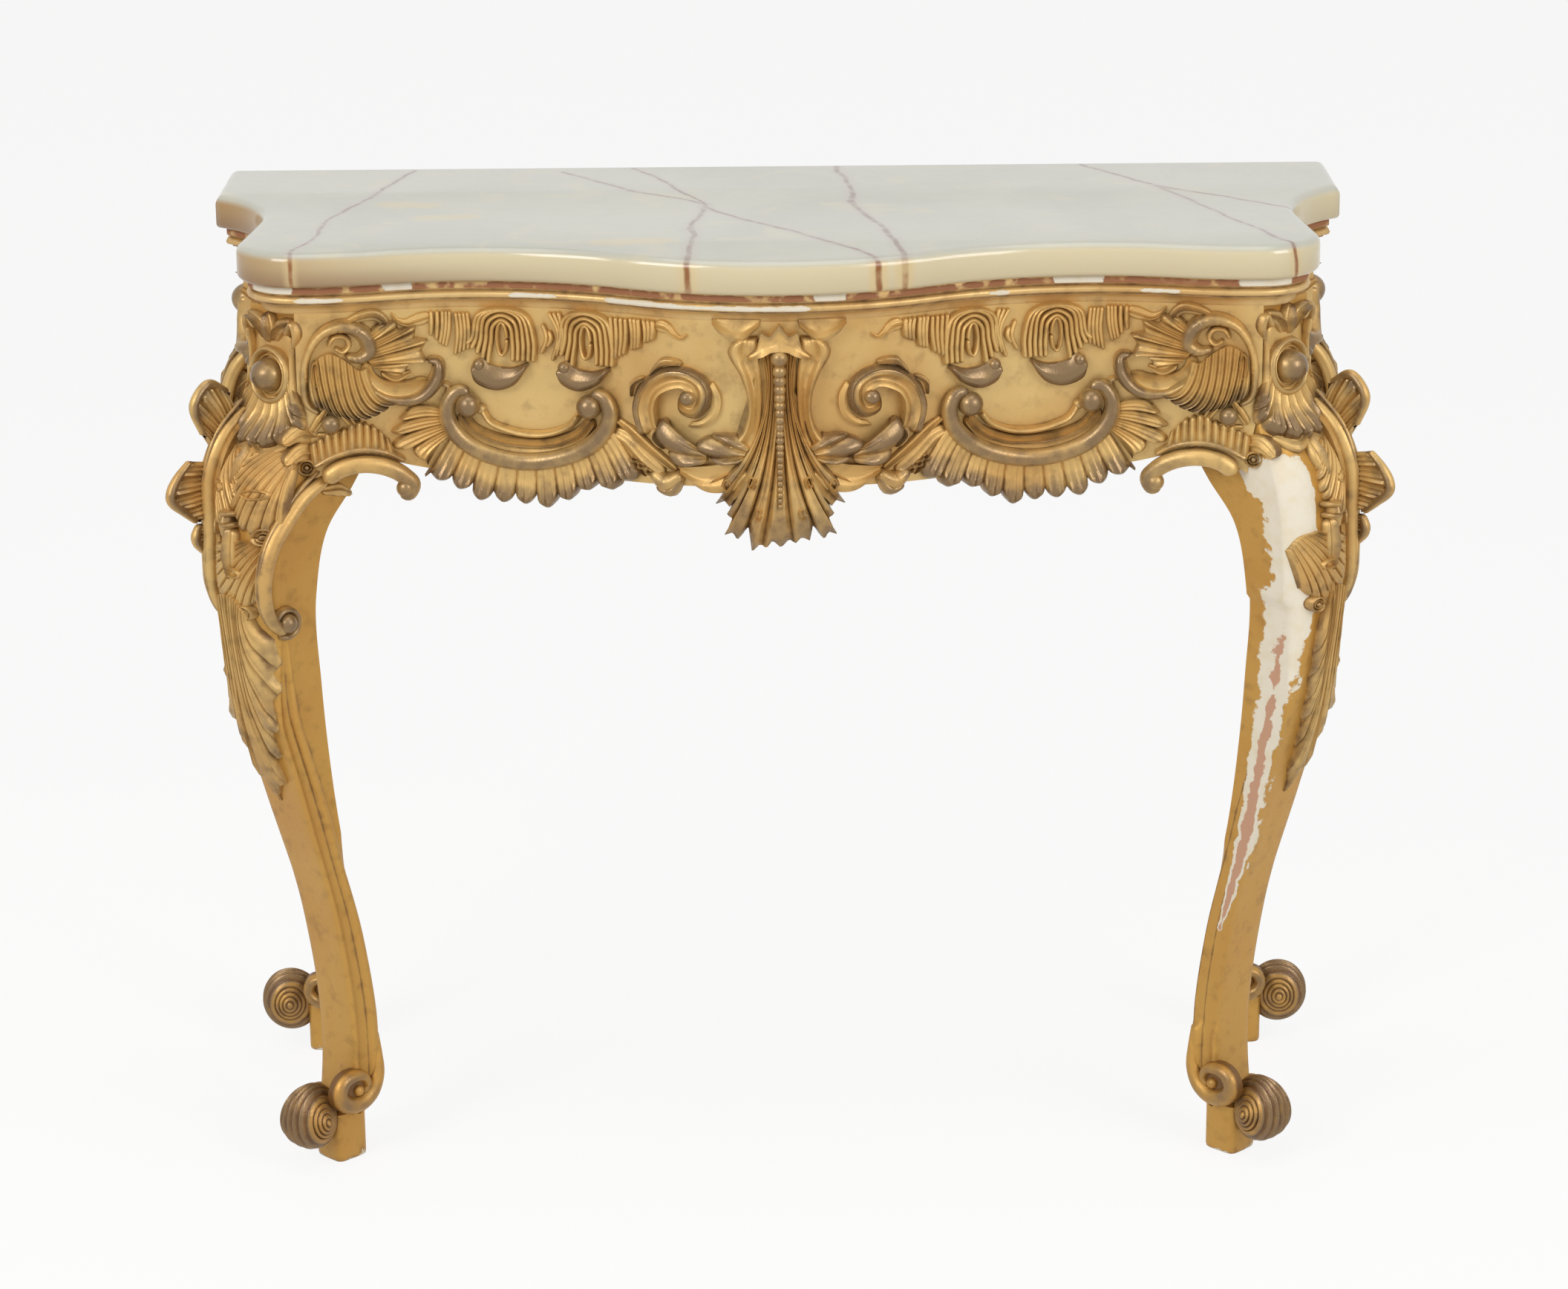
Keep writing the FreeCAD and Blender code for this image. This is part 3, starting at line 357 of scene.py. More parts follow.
def leg_to_room(points, side, front):
    """Leg points (reach out, across, up) in millimetres placed in the room: side is 1 right, -1 left."""
    reach, across, up = np.moveaxis(np.asarray(points, float), -1, 0)
    if front:
        x = FRONT_LEG[0] + DIAGONAL * (reach + across)
        y = FRONT_LEG[1] + DIAGONAL * (across - reach)
    else:
        x = BACK_LEG[0] + reach
        past = np.maximum(across - BACK_HALF_WIDTH + WALL_GAP, 0)
        y = BACK_LEG[1] + np.minimum(across, BACK_HALF_WIDTH - WALL_GAP)
        y = y + WALL_GAP * (1 - np.exp(-past / WALL_SOFTNESS))
    return np.stack([side * x, y, up], -1) * MM


def grid_faces(rows, ring, first):
    """Quads of a tube of rows of closed rings, with a face over each end."""
    faces = []
    for row in range(rows - 1):
        low = first + row * ring
        for k in range(ring):
            after = (k + 1) % ring
            faces.append((low + k, low + after, low + ring + after, low + ring + k))
    faces.append(tuple(range(first + ring - 1, first - 1, -1)))
    faces.append(tuple(range(first + (rows - 1) * ring, first + rows * ring)))
    return faces


SHARP_EDGE = math.radians(58)


def make_piece(node, points, faces, material, marks):
    name = "dressed_" + node
    mesh = bpy.data.meshes.new(name)
    mesh.from_pydata(points.tolist(), [], faces)
    shell = bmesh.new()
    shell.from_mesh(mesh)
    bmesh.ops.recalc_face_normals(shell, faces=shell.faces)
    shell.to_mesh(mesh)
    shell.free()
    mesh.shade_smooth()
    mesh.set_sharp_from_angle(angle=SHARP_EDGE)
    for painted, values in marks.items():
        layer = mesh.attributes.new(painted, "FLOAT", "POINT")
        layer.data.foreach_set("value", np.asarray(values, np.float32))
    mesh.materials.append(material)
    piece = bpy.data.objects.new(name, mesh)
    bpy.context.scene.collection.objects.link(piece)
    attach(piece, "root")
    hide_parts(node)


LEGS = {
    "front_left": (-1, True),
    "front_right": (1, True),
    "back_left": (-1, False),
    "back_right": (1, False),
}
SCAR_LINE = ((42, 705), (76, 692), (92, 660), (92, 620), (80, 580), (70, 535), (58, 470), (46, 410),
             (33, 352), (16, 290), (0, 235))
SCAR_HALF_WIDTHS = (15, 26, 28, 22, 19, 15, 12, 11, 9, 6, 3)
BARE_SHARES = (-0.4, -0.4, -0.4, -0.2, 0.25, 0.3, 0.35, 0.6, 0.65, 0.65, 0.7)
SCAR_POINTS = 120
SCAR_FADE = 12.0
SCAR_FROM = 0.6
LOSS_FALL = 0.5
BARE_FALL = 0.6
BARE_EDGE = 0.5


def scar(points):
    """How far the gilding and the gesso have fallen off where one leg's inner knee scroll broke away."""
    along = np.linspace(0, 1, SCAR_POINTS)
    share = np.linspace(0, 1, len(SCAR_HALF_WIDTHS))
    widths = np.interp(along, share, SCAR_HALF_WIDTHS)
    bare = np.interp(along, share, BARE_SHARES)
    apart = np.linalg.norm(points[:, None, [0, 2]] - through(SCAR_LINE, along)[None], axis=2) / widths
    bare = bare[apart.argmin(1)]
    apart = apart.min(1)
    inner = np.clip(-points[:, 1] / SCAR_FADE - SCAR_FROM, 0, 1)
    loss = np.clip(1 - LOSS_FALL * apart, 0, 1)
    return inner * loss, inner * np.clip(BARE_EDGE + BARE_FALL * (bare - apart), 0, 1)


for leg, (side, front) in LEGS.items():
    heights = np.linspace(BLOCK_HEIGHT, LEG_TOP, LEG_ROWS)
    outer = profile_at(OUTER_SHARES, OUTER_STILE, heights, front)
    inner = profile_at(INNER_SHARES, INNER_STILE, heights, front)
    half = leg_half_width(heights, front)
    upper = np.clip((heights - MOULDING_LOW) / (MOULDING_HIGH - MOULDING_LOW), 0, 1)[:, None, None]
    deep = (outer - inner)[:, None]
    edge = through(EDGE_LINE, np.linspace(0, 1, EDGE_POINTS))
    down = edge[:, 1] * at_heights(EDGE_STRETCH, heights)[:, None] * np.minimum(1, deep / LEAST_DEPTH)
    inward = np.linspace(0, 1, PANEL_POINTS + 1)[1:]
    taper = at_heights(PANEL_SHARES, heights)[:, None]
    panel = edge[-1, 0] * (1 + (taper - 1) * inward)
    widths = [edge[:, 0] + 0 * deep, panel, panel[:, -1:] * BACK_SHARES]
    depths = [down, down[:, -1:] + (deep - down[:, -1:]) * inward, deep + 0 * np.array(BACK_SHARES)]
    depths = np.concatenate(depths, 1) / deep
    moulded = np.stack([np.concatenate(widths, 1) / EDGE_HALF, depths], 2)
    on_face = edge[:, 1] < FACE_DEPTH
    widths = [np.where(on_face, edge[:, 0] / EDGE_HALF, 1) + 0 * deep, 1 + 0 * panel, BACK_SHARES + 0 * deep]
    depths[:, :EDGE_POINTS] *= np.where(on_face, 0, 1)
    square = np.stack([np.concatenate(widths, 1), depths], 2)
    section = moulded * (1 - upper) + square * upper
    reach = outer[:, None] - section[:, :, 1] * deep
    across = section[:, :, 0] * half[:, None]
    # Grime and painted shade below the knee: the groove, a painted shadow behind the bead and along the side
    # panel.
    leg_shading = sum(dark * np.exp(-((edge[:, 1] - middle) / wide) ** 2) for middle, wide, dark in GROOVE_AND_BEAD_SHADES)
    panel_shadowing = PANEL_SHADOW * np.exp(-PANEL_SHADOW_FALL * inward)
    leg_shading = np.concatenate([leg_shading, panel_shadowing, np.zeros(len(BACK_SHARES))]) * (1 - upper[:, :, 0])
    up = np.broadcast_to(heights[:, None], reach.shape)
    reach = reach - knee_drop(across, up, front) * np.clip(1 - 2 * section[:, :, 1], 0, 1)
    one_side = np.stack([reach, across, up], 2)
    other_side = (one_side * (1, -1, 1))[:, -2:0:-1]
    if leg == BROKEN_LEG:
        broken = ((heights > BROKEN_FROM) & (heights < MOULDING_HIGH))[:, None]
        planed = np.maximum(other_side[:, :, 1], -BROKEN_SHARE * half[:, None])
        other_side[:, :, 1] = np.where(broken, planed, other_side[:, :, 1])
    rings = np.concatenate([one_side, other_side], 1)
    flat = rings.reshape(-1, 3)
    marks = {"grime_and_shade": np.concatenate([leg_shading, leg_shading[:, -2:0:-1]], 1).ravel()}
    if leg == BROKEN_LEG:
        marks["loss"], marks["bare"] = scar(flat)
    faces = grid_faces(LEG_ROWS, rings.shape[1], 0)
    make_piece(leg + "_leg", leg_to_room(flat, side, front), faces, gilt_legs, marks)


# Central leaf: one broad acanthus leaf under a notched crown, carved in pine, gilded and glued to the front
# rail. It hangs below the rail, with a string of husks down its midrib. Like all the carving here it is
# drawn in strokes, balls, fans and bands, which are laid on the face behind it.
CARVED_GOLD = srgb(203, 168, 105)
gilt_carving = gilt("gilt_carving", CARVED_GOLD, GREY_BURNISH, 1.0, 0.8, 0.0)
ROUND_POINTS = 9
BAR_POINTS = 16
FLAT_POINTS = 13
LEAF_VEIN = 0.16
FLUTE_WAVE = 0.22
HOLLOW_MIDDLE = 0.35
HOLLOW_EDGE = 0.99
LEAF_BLADE = 0.5
LEAF_CURL = 0.2
LEAF_RIDGE = 0.5


def section_of(kind):
    """Half-width shares and relief shares across a stroke, from one edge to the other."""
    turn = np.linspace(0, math.pi, ROUND_POINTS)
    if kind == "bar":
        turn = np.linspace(0, 2 * math.pi, BAR_POINTS, endpoint=False)
    if kind in ("bar", "round"):
        return -np.cos(turn), np.sin(turn)
    across = np.linspace(-1, 1, FLAT_POINTS)
    if kind == "flute":
        return across, (1 - across ** 4) * (1 - FLUTE_WAVE + FLUTE_WAVE * np.cos(2 * math.pi * across))
    if kind == "hollow":
        rise = HOLLOW_MIDDLE + (1 - HOLLOW_MIDDLE) * across ** 2
        return across, np.where(np.abs(across) > HOLLOW_EDGE, 0, rise)
    vein = np.exp(-(across / LEAF_VEIN) ** 2)
    return across, (1 - across ** 6) * (LEAF_BLADE + LEAF_CURL * across ** 2 + LEAF_RIDGE * vein)


def read_along(values, share):
    """Values at even steps of a line, or one value for all of it, read at shares of its length."""
    values = np.atleast_1d(values)
    return np.interp(share, np.linspace(0, 1, len(values)), values)


STROKE_STEP = 1.7
STROKE_ROWS = (11, 70)
LEAST_HALF_WIDTH = 0.08
END_RELIEF = 0.35


def stroke(kind, line, half_widths, reliefs, rub=0.3, lift=0.0, back=-1.0, ripple=(0, 0)):
    """One carved stroke: rings of points (two along the surface, then relief) with their rub, grime and
    painted shade.
    """
    length = np.linalg.norm(np.diff(np.asarray(line, float), axis=0), axis=1).sum()
    rows = int(np.clip(length / STROKE_STEP, *STROKE_ROWS))
    share = (1 - np.cos(np.linspace(0, math.pi, rows))) / 2
    spine = through(line, share)
    half = read_along(half_widths, share)
    high = read_along(reliefs, share)
    for end, gone in ((0, share * length), (-1, (1 - share) * length)):
        rounding = np.sqrt(1 - (1 - np.clip(gone / np.atleast_1d(half_widths)[end], 0, 1)) ** 2)
        half = half * np.maximum(rounding, LEAST_HALF_WIDTH)
        high = high * (END_RELIEF + (1 - END_RELIEF) * rounding)
    high = high * (1 + ripple[1] * np.sin(2 * math.pi * ripple[0] * share))
    along = np.gradient(spine, axis=0)
    along /= np.linalg.norm(along, axis=1)[:, None]
    beside = np.stack([-along[:, 1], along[:, 0]], 1)
    across, relief = section_of(kind)
    flat = spine[:, None] + beside[:, None] * (half[:, None] * across)[:, :, None]
    up = lift + high[:, None] * relief
    rubbing = read_along(rub, share)[:, None] * np.abs(relief)
    # Grime and painted shade, darker where the relief falls towards the stroke's edges.
    grime_and_shade = np.clip(1 - np.abs(relief), 0, 1) ** 2 + np.zeros((rows, 1))
    rings = np.concatenate([flat, up[:, :, None]], 2)
    if kind != "bar":
        under = np.concatenate([rings[:, -1:], rings[:, :1]], 1).copy()
        under[:, :, 2] = back
        rings = np.concatenate([rings, under], 1)
        rubbing = np.concatenate([rubbing, np.zeros((rows, 2))], 1)
        # Painted shade over all of the walls down to the back.
        grime_and_shade = np.concatenate([grime_and_shade, np.ones((rows, 2))], 1)
    return rings, rubbing, grime_and_shade


BALL_ROWS = 15
BALL_TURNS = 24
POLE_GIRTH = 0.01
BALL_SIDE_RUB = 0.45
BALL_SHADE_FROM = 0.5


def ball(centre, radius, lift=0.0, rub=0.8, flatten=1.0):
    """A carved ball whose middle lies at its lift from the surface."""
    tilt = np.linspace(-math.pi / 2, math.pi / 2, BALL_ROWS)[:, None]
    turn = np.linspace(0, 2 * math.pi, BALL_TURNS, endpoint=False)
    girth = radius * np.maximum(np.cos(tilt), POLE_GIRTH)
    rings = np.stack([
        centre[0] + girth * np.cos(turn),
        centre[1] + girth * np.sin(turn),
        lift + radius * flatten * np.sin(tilt) + 0 * turn,
    ], 2)
    high = np.clip(np.sin(tilt) + 0 * turn, 0, 1)
    rubbing = rub * (BALL_SIDE_RUB + (1 - BALL_SIDE_RUB) * high)
    # Painted shade on the lower half, towards the surface that the ball sits on.
    return rings, rubbing, np.clip(BALL_SHADE_FROM - np.sin(tilt) + 0 * turn, 0, 1) ** 2


RING_STEP = 15.0


def ring_line(centre, radius, start=0.0, end=360.0, stretch=1.0):
    """Points round a circle or an oval, in degrees from the first axis."""
    turn = np.radians(np.linspace(start, end, max(int(abs(end - start) / RING_STEP), 4)))
    return [(centre[0] + radius * math.cos(t), centre[1] + radius * stretch * math.sin(t)) for t in turn]


LOBE_POINTS = 12
FAN_ROWS = 17
TIP_ROUND_FROM = 0.9
RIDGE_DEPTH = 0.09
RIDGE_GRIME_AND_SHADE = 0.22
LOBE_POWER = 0.7
LOBE_UNEVEN = 0.5
LOBE_WAVE = 7.3
FAN_END_POWER = 0.2
TIP_RELIEF = 0.45
ROOT_FURROW = 0.3
FURROW_RUB = 0.4


def straight(points, shares):
    """A line through points that keeps its corners, read at the given shares of its length."""
    points = np.asarray(points, float)
    at = np.concatenate([[0.0], np.cumsum(np.linalg.norm(np.diff(points, axis=0), axis=1))])
    return np.stack([np.interp(np.asarray(shares) * at[-1], at, column) for column in points.T], 1)


def fan(roots, tips, lobes, rise, rub, middles=None, furrow=0.35, notch=0.1, back=-3.0, ridges=3, behind=1.0,
        toothed=False):
    """A fluted shell: ridged lobes that widen from a root line to a scalloped or toothed tip line."""
    across = np.linspace(0, 1, lobes * LOBE_POINTS + 1)[:, None]
    along = np.linspace(0, 1, FAN_ROWS)
    crown = np.abs(np.sin(math.pi * lobes * across)) ** LOBE_POWER
    longer = 1 - LOBE_UNEVEN * notch * np.sin(LOBE_WAVE * np.floor(lobes * across - 0.001) + 1) ** 2
    ridge = np.cos(2 * math.pi * ridges * lobes * across)
    root = through(roots, across[:, 0])
    tip = (straight if toothed else through)(tips, across[:, 0])
    bend = root + tip if middles is None else 4 * through(middles, across[:, 0]) - root - tip
    reach = 1 - (1 - longer * (1 - notch * (1 - crown))) * np.sin(math.pi * across) ** FAN_END_POWER
    share = (along * reach)[:, :, None]
    flat = (1 - share) ** 2 * root[:, None] + share * (1 - share) * bend[:, None] + share ** 2 * tip[:, None]
    rounding = np.sqrt(1 - np.clip((along - TIP_ROUND_FROM) / (1 - TIP_ROUND_FROM), 0, 1) ** 2)
    high = read_along(rise, along) * (TIP_RELIEF + (1 - TIP_RELIEF) * rounding)
    deepening = ROOT_FURROW + (1 - ROOT_FURROW) * along
    up = high * (1 - furrow * (1 - crown) * deepening - RIDGE_DEPTH * (1 + ridge))
    rings = np.concatenate([flat, flat[:, [-1, FAN_ROWS // 2, 0]]], 1)
    under = np.ones((len(across), 3))
    heights = np.concatenate([up, back * under], 1)
    rubbing = read_along(rub, along) * (FURROW_RUB + (1 - FURROW_RUB) * crown)
    # Grime and painted shade in the furrows and between the ridges, and painted shade on the walls behind.
    grime_and_shade = np.clip((1 - crown) ** 2 * deepening + RIDGE_GRIME_AND_SHADE * (1 + ridge) * along, 0, 1)
    rings = np.concatenate([rings, heights[:, :, None]], 2)
    return rings, np.concatenate([rubbing, 0 * under], 1), np.concatenate([grime_and_shade, behind * under], 1)


BAND_ROWS = 49
BAND_POINTS = 13
BAND_END_ROWS = 3
BAND_END_RELIEF = 0.3
BAND_GRIME_AND_SHADE_POWER = 1.2
BAND_BACK_SHADE = 0.5


def band(first, last, rise, rub, back=-3.0, toothed=False):
    """A carved strip between two edge lines, with its relief and rub given across from edge to edge."""
    both = (straight if toothed else through)(np.concatenate([first, last], 1), np.linspace(0, 1, BAND_ROWS))
    share = np.linspace(0, 1, BAND_POINTS)
    flat = both[:, None, :2] + (both[:, None, 2:] - both[:, None, :2]) * share[:, None]
    row = np.arange(BAND_ROWS)
    from_end = np.minimum(row, row[::-1]) / BAND_END_ROWS
    rounding = BAND_END_RELIEF + (1 - BAND_END_RELIEF) * np.sqrt(1 - np.clip(1 - from_end, 0, 1) ** 2)
    up = rounding[:, None] * read_along(rise, share)
    under = np.full((BAND_ROWS, 2), back)
    rings = np.concatenate([flat, flat[:, [-1, 0]]], 1)
    rings = np.concatenate([rings, np.concatenate([up, under], 1)[:, :, None]], 2)
    rubbing = read_along(rub, share) * np.ones((BAND_ROWS, 1))
    # Grime and painted shade where the relief is low, and painted shade on the walls behind.
    grime_and_shade = np.clip(1 - up / max(rise), 0, 1) ** BAND_GRIME_AND_SHADE_POWER
    grime_and_shade = np.concatenate([grime_and_shade, 0 * under + BAND_BACK_SHADE], 1)
    return rings, np.concatenate([rubbing, 0 * under], 1), grime_and_shade


def both_ways(half):
    """A line drawn from its left end to its middle, carried on in mirror image to its right end."""
    return half + tuple((-x, z) for x, z in half[-2::-1])


def laid(place, shapes):
    """Carved shapes with their points laid on a surface."""
    return [(place(rings.reshape(-1, 3)).reshape(rings.shape), rub, grime_and_shade) for rings, rub, grime_and_shade in shapes]


def carve(node, shapes, material=gilt_carving, marks=None):
    """Joins carved shapes, laid on their surfaces, into one piece."""
    points, faces, rub, grime_and_shade = [], [], [], []
    first = 0
    for rings, rubbing, shading_and_grime in shapes:
        rows, ring = rings.shape[:2]
        points.append(rings.reshape(-1, 3))
        rub.append(rubbing.ravel())
        grime_and_shade.append(shading_and_grime.ravel())
        faces += grid_faces(rows, ring, first)
        first += rows * ring
    painted = {"rub": np.concatenate(rub), "grime_and_shade": np.concatenate(grime_and_shade), **(marks or {})}
    make_piece(node, np.concatenate(points), faces, material, painted)


WALL_Y = 217.0
RAIL_INSET = 22.0
TOP_DEPTH = 434.0
DIP_X = 285.0
DIP_W = 364.0
CREST_X = 440.0
CREST_W = 386.0
CORNER_RADIUS = 58.0
CARVING_DRAWN_IN = 4.0
DRAWN_IN_FROM = 60.0
STEEPEST = 0.98
MIDDLE_TURN = 2 * math.atan((TOP_DEPTH - DIP_W) / DIP_X)
MIDDLE_RADIUS = DIP_X / (2 * math.sin(MIDDLE_TURN))
CREST_TURN = 2 * math.atan((CREST_W - DIP_W) / (CREST_X - DIP_X))
CREST_RADIUS = (CREST_X - DIP_X) / (2 * math.sin(CREST_TURN))
FRONT_ARCS = (
    (0.0, TOP_DEPTH - MIDDLE_RADIUS, MIDDLE_RADIUS, 1, 0.0, MIDDLE_TURN),
    (DIP_X, DIP_W + MIDDLE_RADIUS, MIDDLE_RADIUS, -1, -MIDDLE_TURN, 0.0),
    (DIP_X, DIP_W + CREST_RADIUS, CREST_RADIUS, -1, 0.0, CREST_TURN),
    (CREST_X, CREST_W - CREST_RADIUS, CREST_RADIUS, 1, -CREST_TURN, 0.0),
    (CREST_X, CREST_W - CORNER_RADIUS, CORNER_RADIUS, 1, 0.0, math.pi / 2),
)


def on_front(side):
    """Lays apron points (x, height, relief), drawn for the left, on the serpentine face of one side."""
    def place(points):
        x, up, relief = points.T
        apart = np.abs(x) - CARVING_DRAWN_IN * np.clip(np.abs(x) / DRAWN_IN_FROM, 0, 1)
        w, nx, nw = np.zeros_like(x), np.zeros_like(x), np.ones_like(x)
        for centre_x, centre_w, radius, bulge, start, end in FRONT_ARCS:
            true = radius - bulge * RAIL_INSET
            here = apart >= centre_x + true * math.sin(start)
            along = np.clip((apart - centre_x) / true, -STEEPEST, STEEPEST)
            rise = np.sqrt(1 - along ** 2)
            w = np.where(here, centre_w + bulge * true * rise, w)
            nx = np.where(here, bulge * along, nx)
            nw = np.where(here, rise, nw)
        out_x = np.sign(x) * (apart + nx * relief)
        return np.stack([-side * out_x, WALL_Y - w - nw * relief, up], 1) * MM
    return place


LEAF_CROWN_TOP = both_ways(((-32, 829), (-21, 838), (-17, 852), (-9, 848), (0, 859)))
LEAF_CROWN_LOW = both_ways(((-31, 827), (-22, 829), (-15, 831), (-8, 835), (0, 836)))
LEAF_ROOTS = both_ways(((-17, 832), (-9, 834), (0, 835)))
LEAF_MIDDLES = both_ways(((-19, 766), (-13, 748), (0, 742)))
LEAF_TIPS = ((-56, 714), (-60, 704), (-54, 702), (-63, 689), (-54, 692), (-49, 687), (-44, 692), (-52, 680),
             (-46, 676), (-49, 668), (-55, 660), (-46, 663), (-42, 656), (-37, 661), (-31, 669), (-28, 645),
             (-20, 652), (-14, 648), (-8, 656), (0, 649), (8, 657), (14, 652), (20, 659), (28, 655),
             (31, 670), (37, 661), (42, 656), (46, 663), (55, 660), (49, 668), (46, 676), (52, 680),
             (44, 692), (49, 687), (54, 692), (63, 689), (54, 702), (60, 704), (56, 714))
SIDE_LEAF = ((-32, 731), (-49, 719), (-64, 711), (-77, 703))
LEAF_EYES = ((-27, 712), (-50, 709), (-21, 682))
HUSK_TOP = 829.0
HUSK_LOW = 690.0
HUSK_COUNT = 22
HUSK_RADII = (8.0, 2.6)
HUSK_LIFT = 13.0
HUSK_RUB = 0.7
HUSK_CROWDING = 0.8
HUSK_TAPER = 0.5
LEAF_LOBES = 9
EYE_RADIUS = 3.2
EYE_STRETCH = 1.7

leaf = [
    fan(LEAF_ROOTS, LEAF_TIPS, LEAF_LOBES, (11, 9, 10, 14, 16), (0.1, 0.0, 0.05, 0.35, 0.8), LEAF_MIDDLES,
        furrow=0.34, notch=0, back=-7, ridges=2, toothed=True),
    band(LEAF_CROWN_TOP, LEAF_CROWN_LOW, (13, 12, 13, 17), (0.6, 0.2, 0.1, 0.4), toothed=True),
]
for way in (-1, 1):
    line = [(-way * x, z) for x, z in SIDE_LEAF]
    leaf.append(stroke("leaf", line, (4, 8, 7, 2), (6, 9, 9, 7), (0.0, 0.4), back=-7))
    for x, z in LEAF_EYES:
        leaf.append(stroke("round", ring_line((-way * x, z), EYE_RADIUS, stretch=EYE_STRETCH), 1.4, 16))
carve("centre_leaf", laid(on_front(-1), leaf))

husks = []
for share in np.linspace(0, 1, HUSK_COUNT) ** HUSK_CROWDING:
    radius = HUSK_RADII[0] + (HUSK_RADII[1] - HUSK_RADII[0]) * share ** HUSK_TAPER
    husks.append(ball((0, HUSK_TOP + (HUSK_LOW - HUSK_TOP) * share), radius, HUSK_LIFT, HUSK_RUB))
carve("centre_husk_string", laid(on_front(-1), husks))


# Scrolled straps: one on each side of the leaf, a flat band that falls from the cornice, narrows and turns
# under into a burnished curl. A small leaf fills its shoulder. Carved in pine, gilded and glued to the
# rail.
SIDES = {"left": -1, "right": 1}


def carve_pair(ornament, shapes, surface=on_front):
    """Carves an ornament on the left and its mirror image on the right."""
    for name, side in SIDES.items():
        carve(name + "_" + ornament, laid(surface(side), shapes))


STRAP_BANDS = (
    (((-21, 847), (-19, 830), (-17, 810), (-17, 787), (-19, 766), (-23, 748), (-30, 737), (-42, 730)),
     ((-41, 846), (-49, 834), (-38, 812), (-31, 792), (-31, 774), (-37, 759), (-46, 750), (-57, 747)),
     (6, 9, 7, 6, 8, 13, 12, 7), (0.1, 0.1, 0.0, 0.0, 0.3, 0.5)),
    (((-65, 862), (-50, 862), (-36, 862), (-18, 862)), ((-64, 859), (-55, 849), (-40, 842), (-19, 856)),
     (2, 3, 5, 10, 8), (0.0, 0.0, 0.1, 0.5)),
    (((-34, 736), (-60, 727), (-80, 724), (-97, 722)), ((-24, 718), (-46, 703), (-70, 701), (-94, 717)),
     (8, 6, 6, 10, 8), (0.0, 0.0, 0.3)),
)
STRAP_LEAVES = (
    (((-29, 744), (-33, 738), (-36, 731)),
     ((-42, 757), (-58, 757), (-74, 755), (-82, 744), (-72, 734), (-58, 728), (-44, 728))),
    (((-68, 741), (-69, 736), (-69, 730)),
     ((-82, 744), (-95, 747), (-105, 759), (-112, 771), (-118, 757), (-109, 737), (-92, 724), (-76, 726))),
)
STRAP_LOBES = 3
strap = [band(*edges, back=-4) for edges in STRAP_BANDS]
for roots, tips in STRAP_LEAVES:
    strap.append(fan(roots, tips, STRAP_LOBES, (12, 17, 17, 13), (0.5, 0.9, 0.9), furrow=0.16, notch=0.12,
                     ridges=1))
carve_pair("scroll_strap", strap)

# Acanthus scrolls: a leaf that rolls up into a spiral with a burnished eye, with leaf tips along its outer
# edge and a thin leaf behind it. Carved in pine, gilded and glued to the rail.
SCROLL_BANDS = (
    (((-131, 747), (-136, 779), (-124, 804), (-104, 817), (-82, 815), (-67, 803), (-66, 783), (-78, 769),
      (-92, 773), (-96, 786)),
     ((-112, 755), (-115, 777), (-110, 790), (-98, 797), (-90, 798), (-85, 794), (-84, 788), (-86, 784),
      (-89, 785), (-90, 788)),
     (6, 12, 9, 13, 8, 7, 11, 12), (0.8, 0.8, 0.3, 0.3, 0.1, 0.2)),
    (((-64, 804), (-57, 790), (-60, 772), (-73, 761), (-88, 760)),
     ((-69, 800), (-66, 788), (-68, 775), (-76, 767), (-84, 765)), (4, 6, 4), (0.1, 0.1)),
)
SCROLL_TIPS = (
    (((-120, 806), (-107, 818), (-92, 819)), (3, 6, 3), (10, 14, 11)),
    (((-137, 784), (-134, 797), (-126, 803)), (2.5, 5, 2.5), (9, 12, 10)),
    (((-108, 738), (-116, 750), (-108, 762)), (5, 7, 3), (11, 14, 11)),
)
SCROLL_EYE = (-85, 789)
scroll = [band(*edges) for edges in SCROLL_BANDS]
scroll += [stroke("leaf", *tip, (0.8, 0.9)) for tip in SCROLL_TIPS]
scroll.append(ball(SCROLL_EYE, 7, 11, 0.9))
carve_pair("acanthus_scroll", scroll)

# C-scrolls: a burnished round bar bent like a smile, curled over at both ends into balls, with a hollow and
# a second thin rim inside it. Carved in pine, gilded and glued to the rail.
C_BAR = ((-290, 780), (-301, 782), (-310, 773), (-312, 759), (-305, 743), (-290, 729), (-267, 719),
         (-238, 715), (-209, 719), (-186, 728), (-169, 741), (-159, 757), (-158, 770), (-164, 781),
         (-175, 783))
C_HOLLOW = ((-300, 760), (-287, 743), (-266, 733), (-238, 729), (-209, 732), (-189, 742), (-175, 758))
C_RIM = ((-280, 764), (-272, 752), (-257, 745), (-237, 741), (-214, 743), (-197, 751), (-188, 762))
C_BALLS = ((-292, 769), (-177, 771))
scroll = [
    stroke("bar", C_BAR, (6, 8.5, 8.5, 8.5, 8.5, 6), (6, 9, 9, 9, 9, 6), (1.0, 0.7, 0.75, 1.0), lift=6),
    stroke("hollow", C_HOLLOW, (6, 8, 8.5, 8, 6), (8, 9, 9, 9, 8), 0.5),
    stroke("round", C_HOLLOW, (1.6, 1.8, 1.6), (9, 8, 9), 0.7),
    stroke("round", C_RIM, (3.5, 3.8, 3.5), (10, 11, 10)),
    ball(C_RIM[0], 5, 4, 0.4),
]
scroll += [ball(centre, 11.5, 8, 0.95) for centre in C_BALLS]
carve_pair("c_scroll", scroll)

